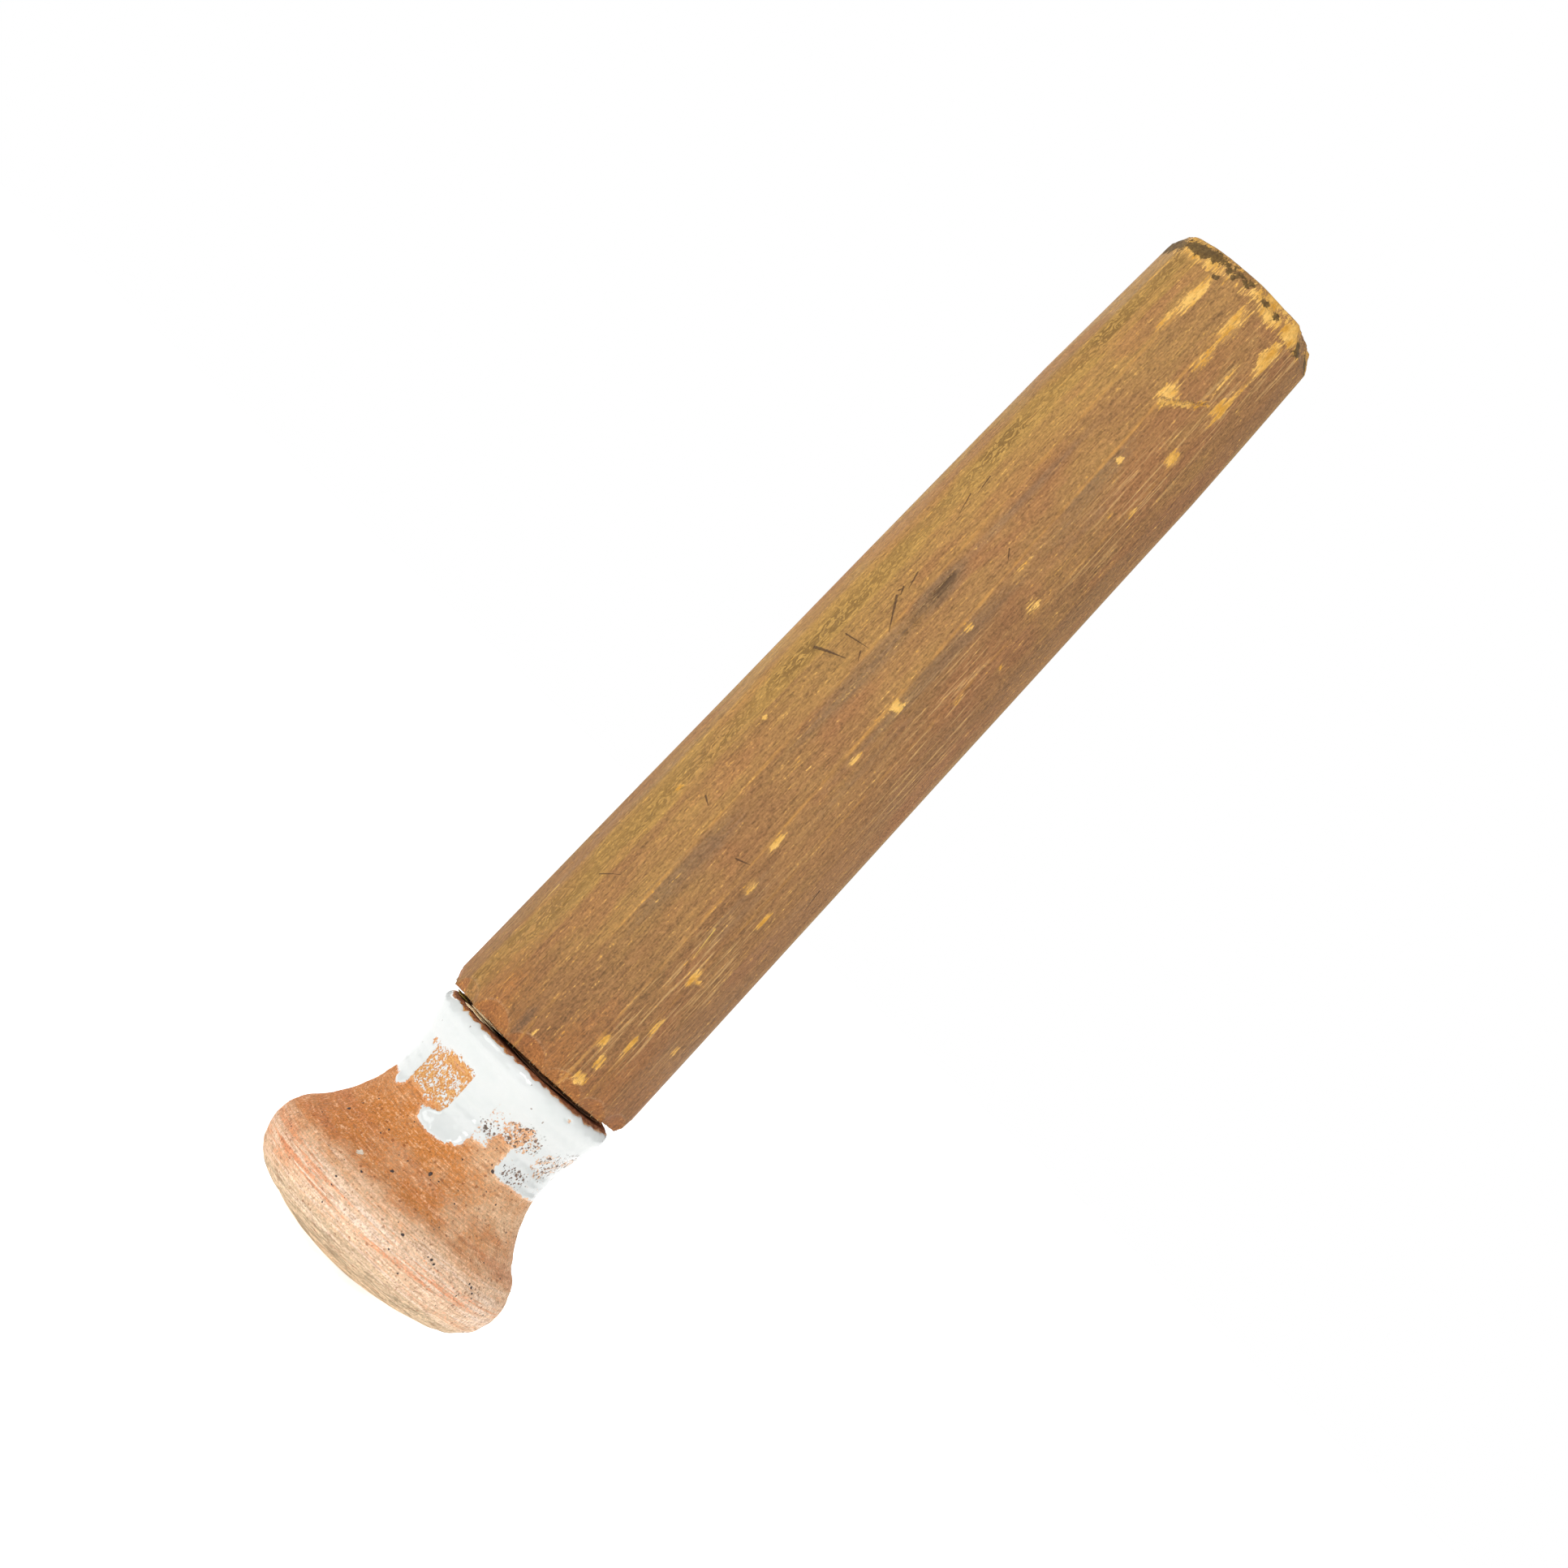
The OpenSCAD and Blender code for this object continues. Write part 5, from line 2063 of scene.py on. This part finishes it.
def corner_span(node: Object, low: float, high: float) -> float:
    """Widest distance across the axis of a node's points between two heights, in millimetres."""
    return 2000 * max(math.hypot(v.co.x, v.co.y) for v in node.data.vertices if low <= v.co.z <= high)


def main() -> None:
    """Builds the pestle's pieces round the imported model, then the studio."""
    logging.basicConfig(level=logging.INFO, format="%(name)s %(message)s")
    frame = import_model()
    nodes = frame["nodes"]
    groups = Groups()
    strands = strand_tree()

    rim_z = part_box("head")[1].z / MM
    foot_d = (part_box("head")[1].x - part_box("head")[0].x) / MM
    handle_low, handle_high = (corner.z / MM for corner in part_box("handle"))
    cement_low, cement_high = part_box("socket_cement")
    shoulder_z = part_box("packing_wrap")[1].z / MM

    surface = ClaySurface(ThrownOutline(foot_d))
    socket_d = (cement_high.x - cement_low.x) / MM
    StonewareHead(surface, socket_d, cement_low.z / MM, rim_z).build(StonewareFinish(), groups)
    glaze_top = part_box("glaze_coat")[1].z / MM + GLAZE_OVER_RIM
    GlazeCoat(surface, GLAZE_LOW_Z, glaze_top).build(GlazeFinish(), groups)
    spots = GrainyFinish("iron_spots", (78, 62, 56), (44, 36, 36), 0.6)
    IronSpots(surface).build(spots.build(groups))

    last_z = handle_high - PlanedHandle.top_ease
    knee_z = last_z - PlanedHandle.last_l
    wood = nodes["handle"]
    handle = PlanedHandle(
        arris_a=arris_directions(wood, knee_z * MM), low_z=shoulder_z, top_z=handle_high,
        tenon_low_z=handle_low,
        low_d=corner_span(wood, (shoulder_z + 3) * MM, (shoulder_z + 5) * MM),
        mid_d=corner_span(wood, (knee_z - 0.1) * MM, (knee_z + 0.1) * MM),
        top_d=corner_span(wood, (last_z - 0.1) * MM, (last_z + 0.1) * MM),
    )
    LOG.info("handle: %d arrises, %.1f, %.1f and %.1f mm across", len(handle.arris_a), handle.low_d,
             handle.mid_d, handle.top_d)
    handle.build(HandleWoodFinish((math.tau * WRAP_R, handle_high, 0.0), WRAP_R), groups)

    cement = nodes["socket_cement"]
    dress(cement, GrainyFinish("socket_cement", (176, 168, 152), (126, 118, 104), 0.9).build(groups))
    joint = JointPacking(rim_z, shoulder_z, handle.tenon_d / 2, strands)
    joint.layers(StrandFinish("packing", (150, 104, 66), (84, 54, 34)).build(groups))
    pale = StrandFinish("pale_wood", (255, 238, 200), (238, 202, 148)).build(groups)
    green = StrandFinish("green_wood", (200, 182, 74), (142, 122, 36)).build(groups)
    joint.sliver("shim_upper", "pale_wood", pale, (-50, -24), (15.5, 20.3),
                 (shoulder_z - 0.55, shoulder_z - 0.1), 13, 5)
    joint.sliver("shim_lower", "pale_wood", pale, (-54, -30), (15.6, 20.9), (rim_z + 0.05, rim_z + 0.5), 13,
                 6)
    joint.sliver("shim_edge", "green_wood", green, (-82, -64), (16.5, 20.3), (rim_z + 0.12, rim_z + 0.6), 10,
                 8)
    torn = StrandFinish("torn_wood", (214, 178, 122), (128, 88, 52), GrainAxis.UPRIGHT.value).build(groups)
    joint.frayed_edge(handle, torn)

    Studio().build()


if __name__ == "__main__":
    main()
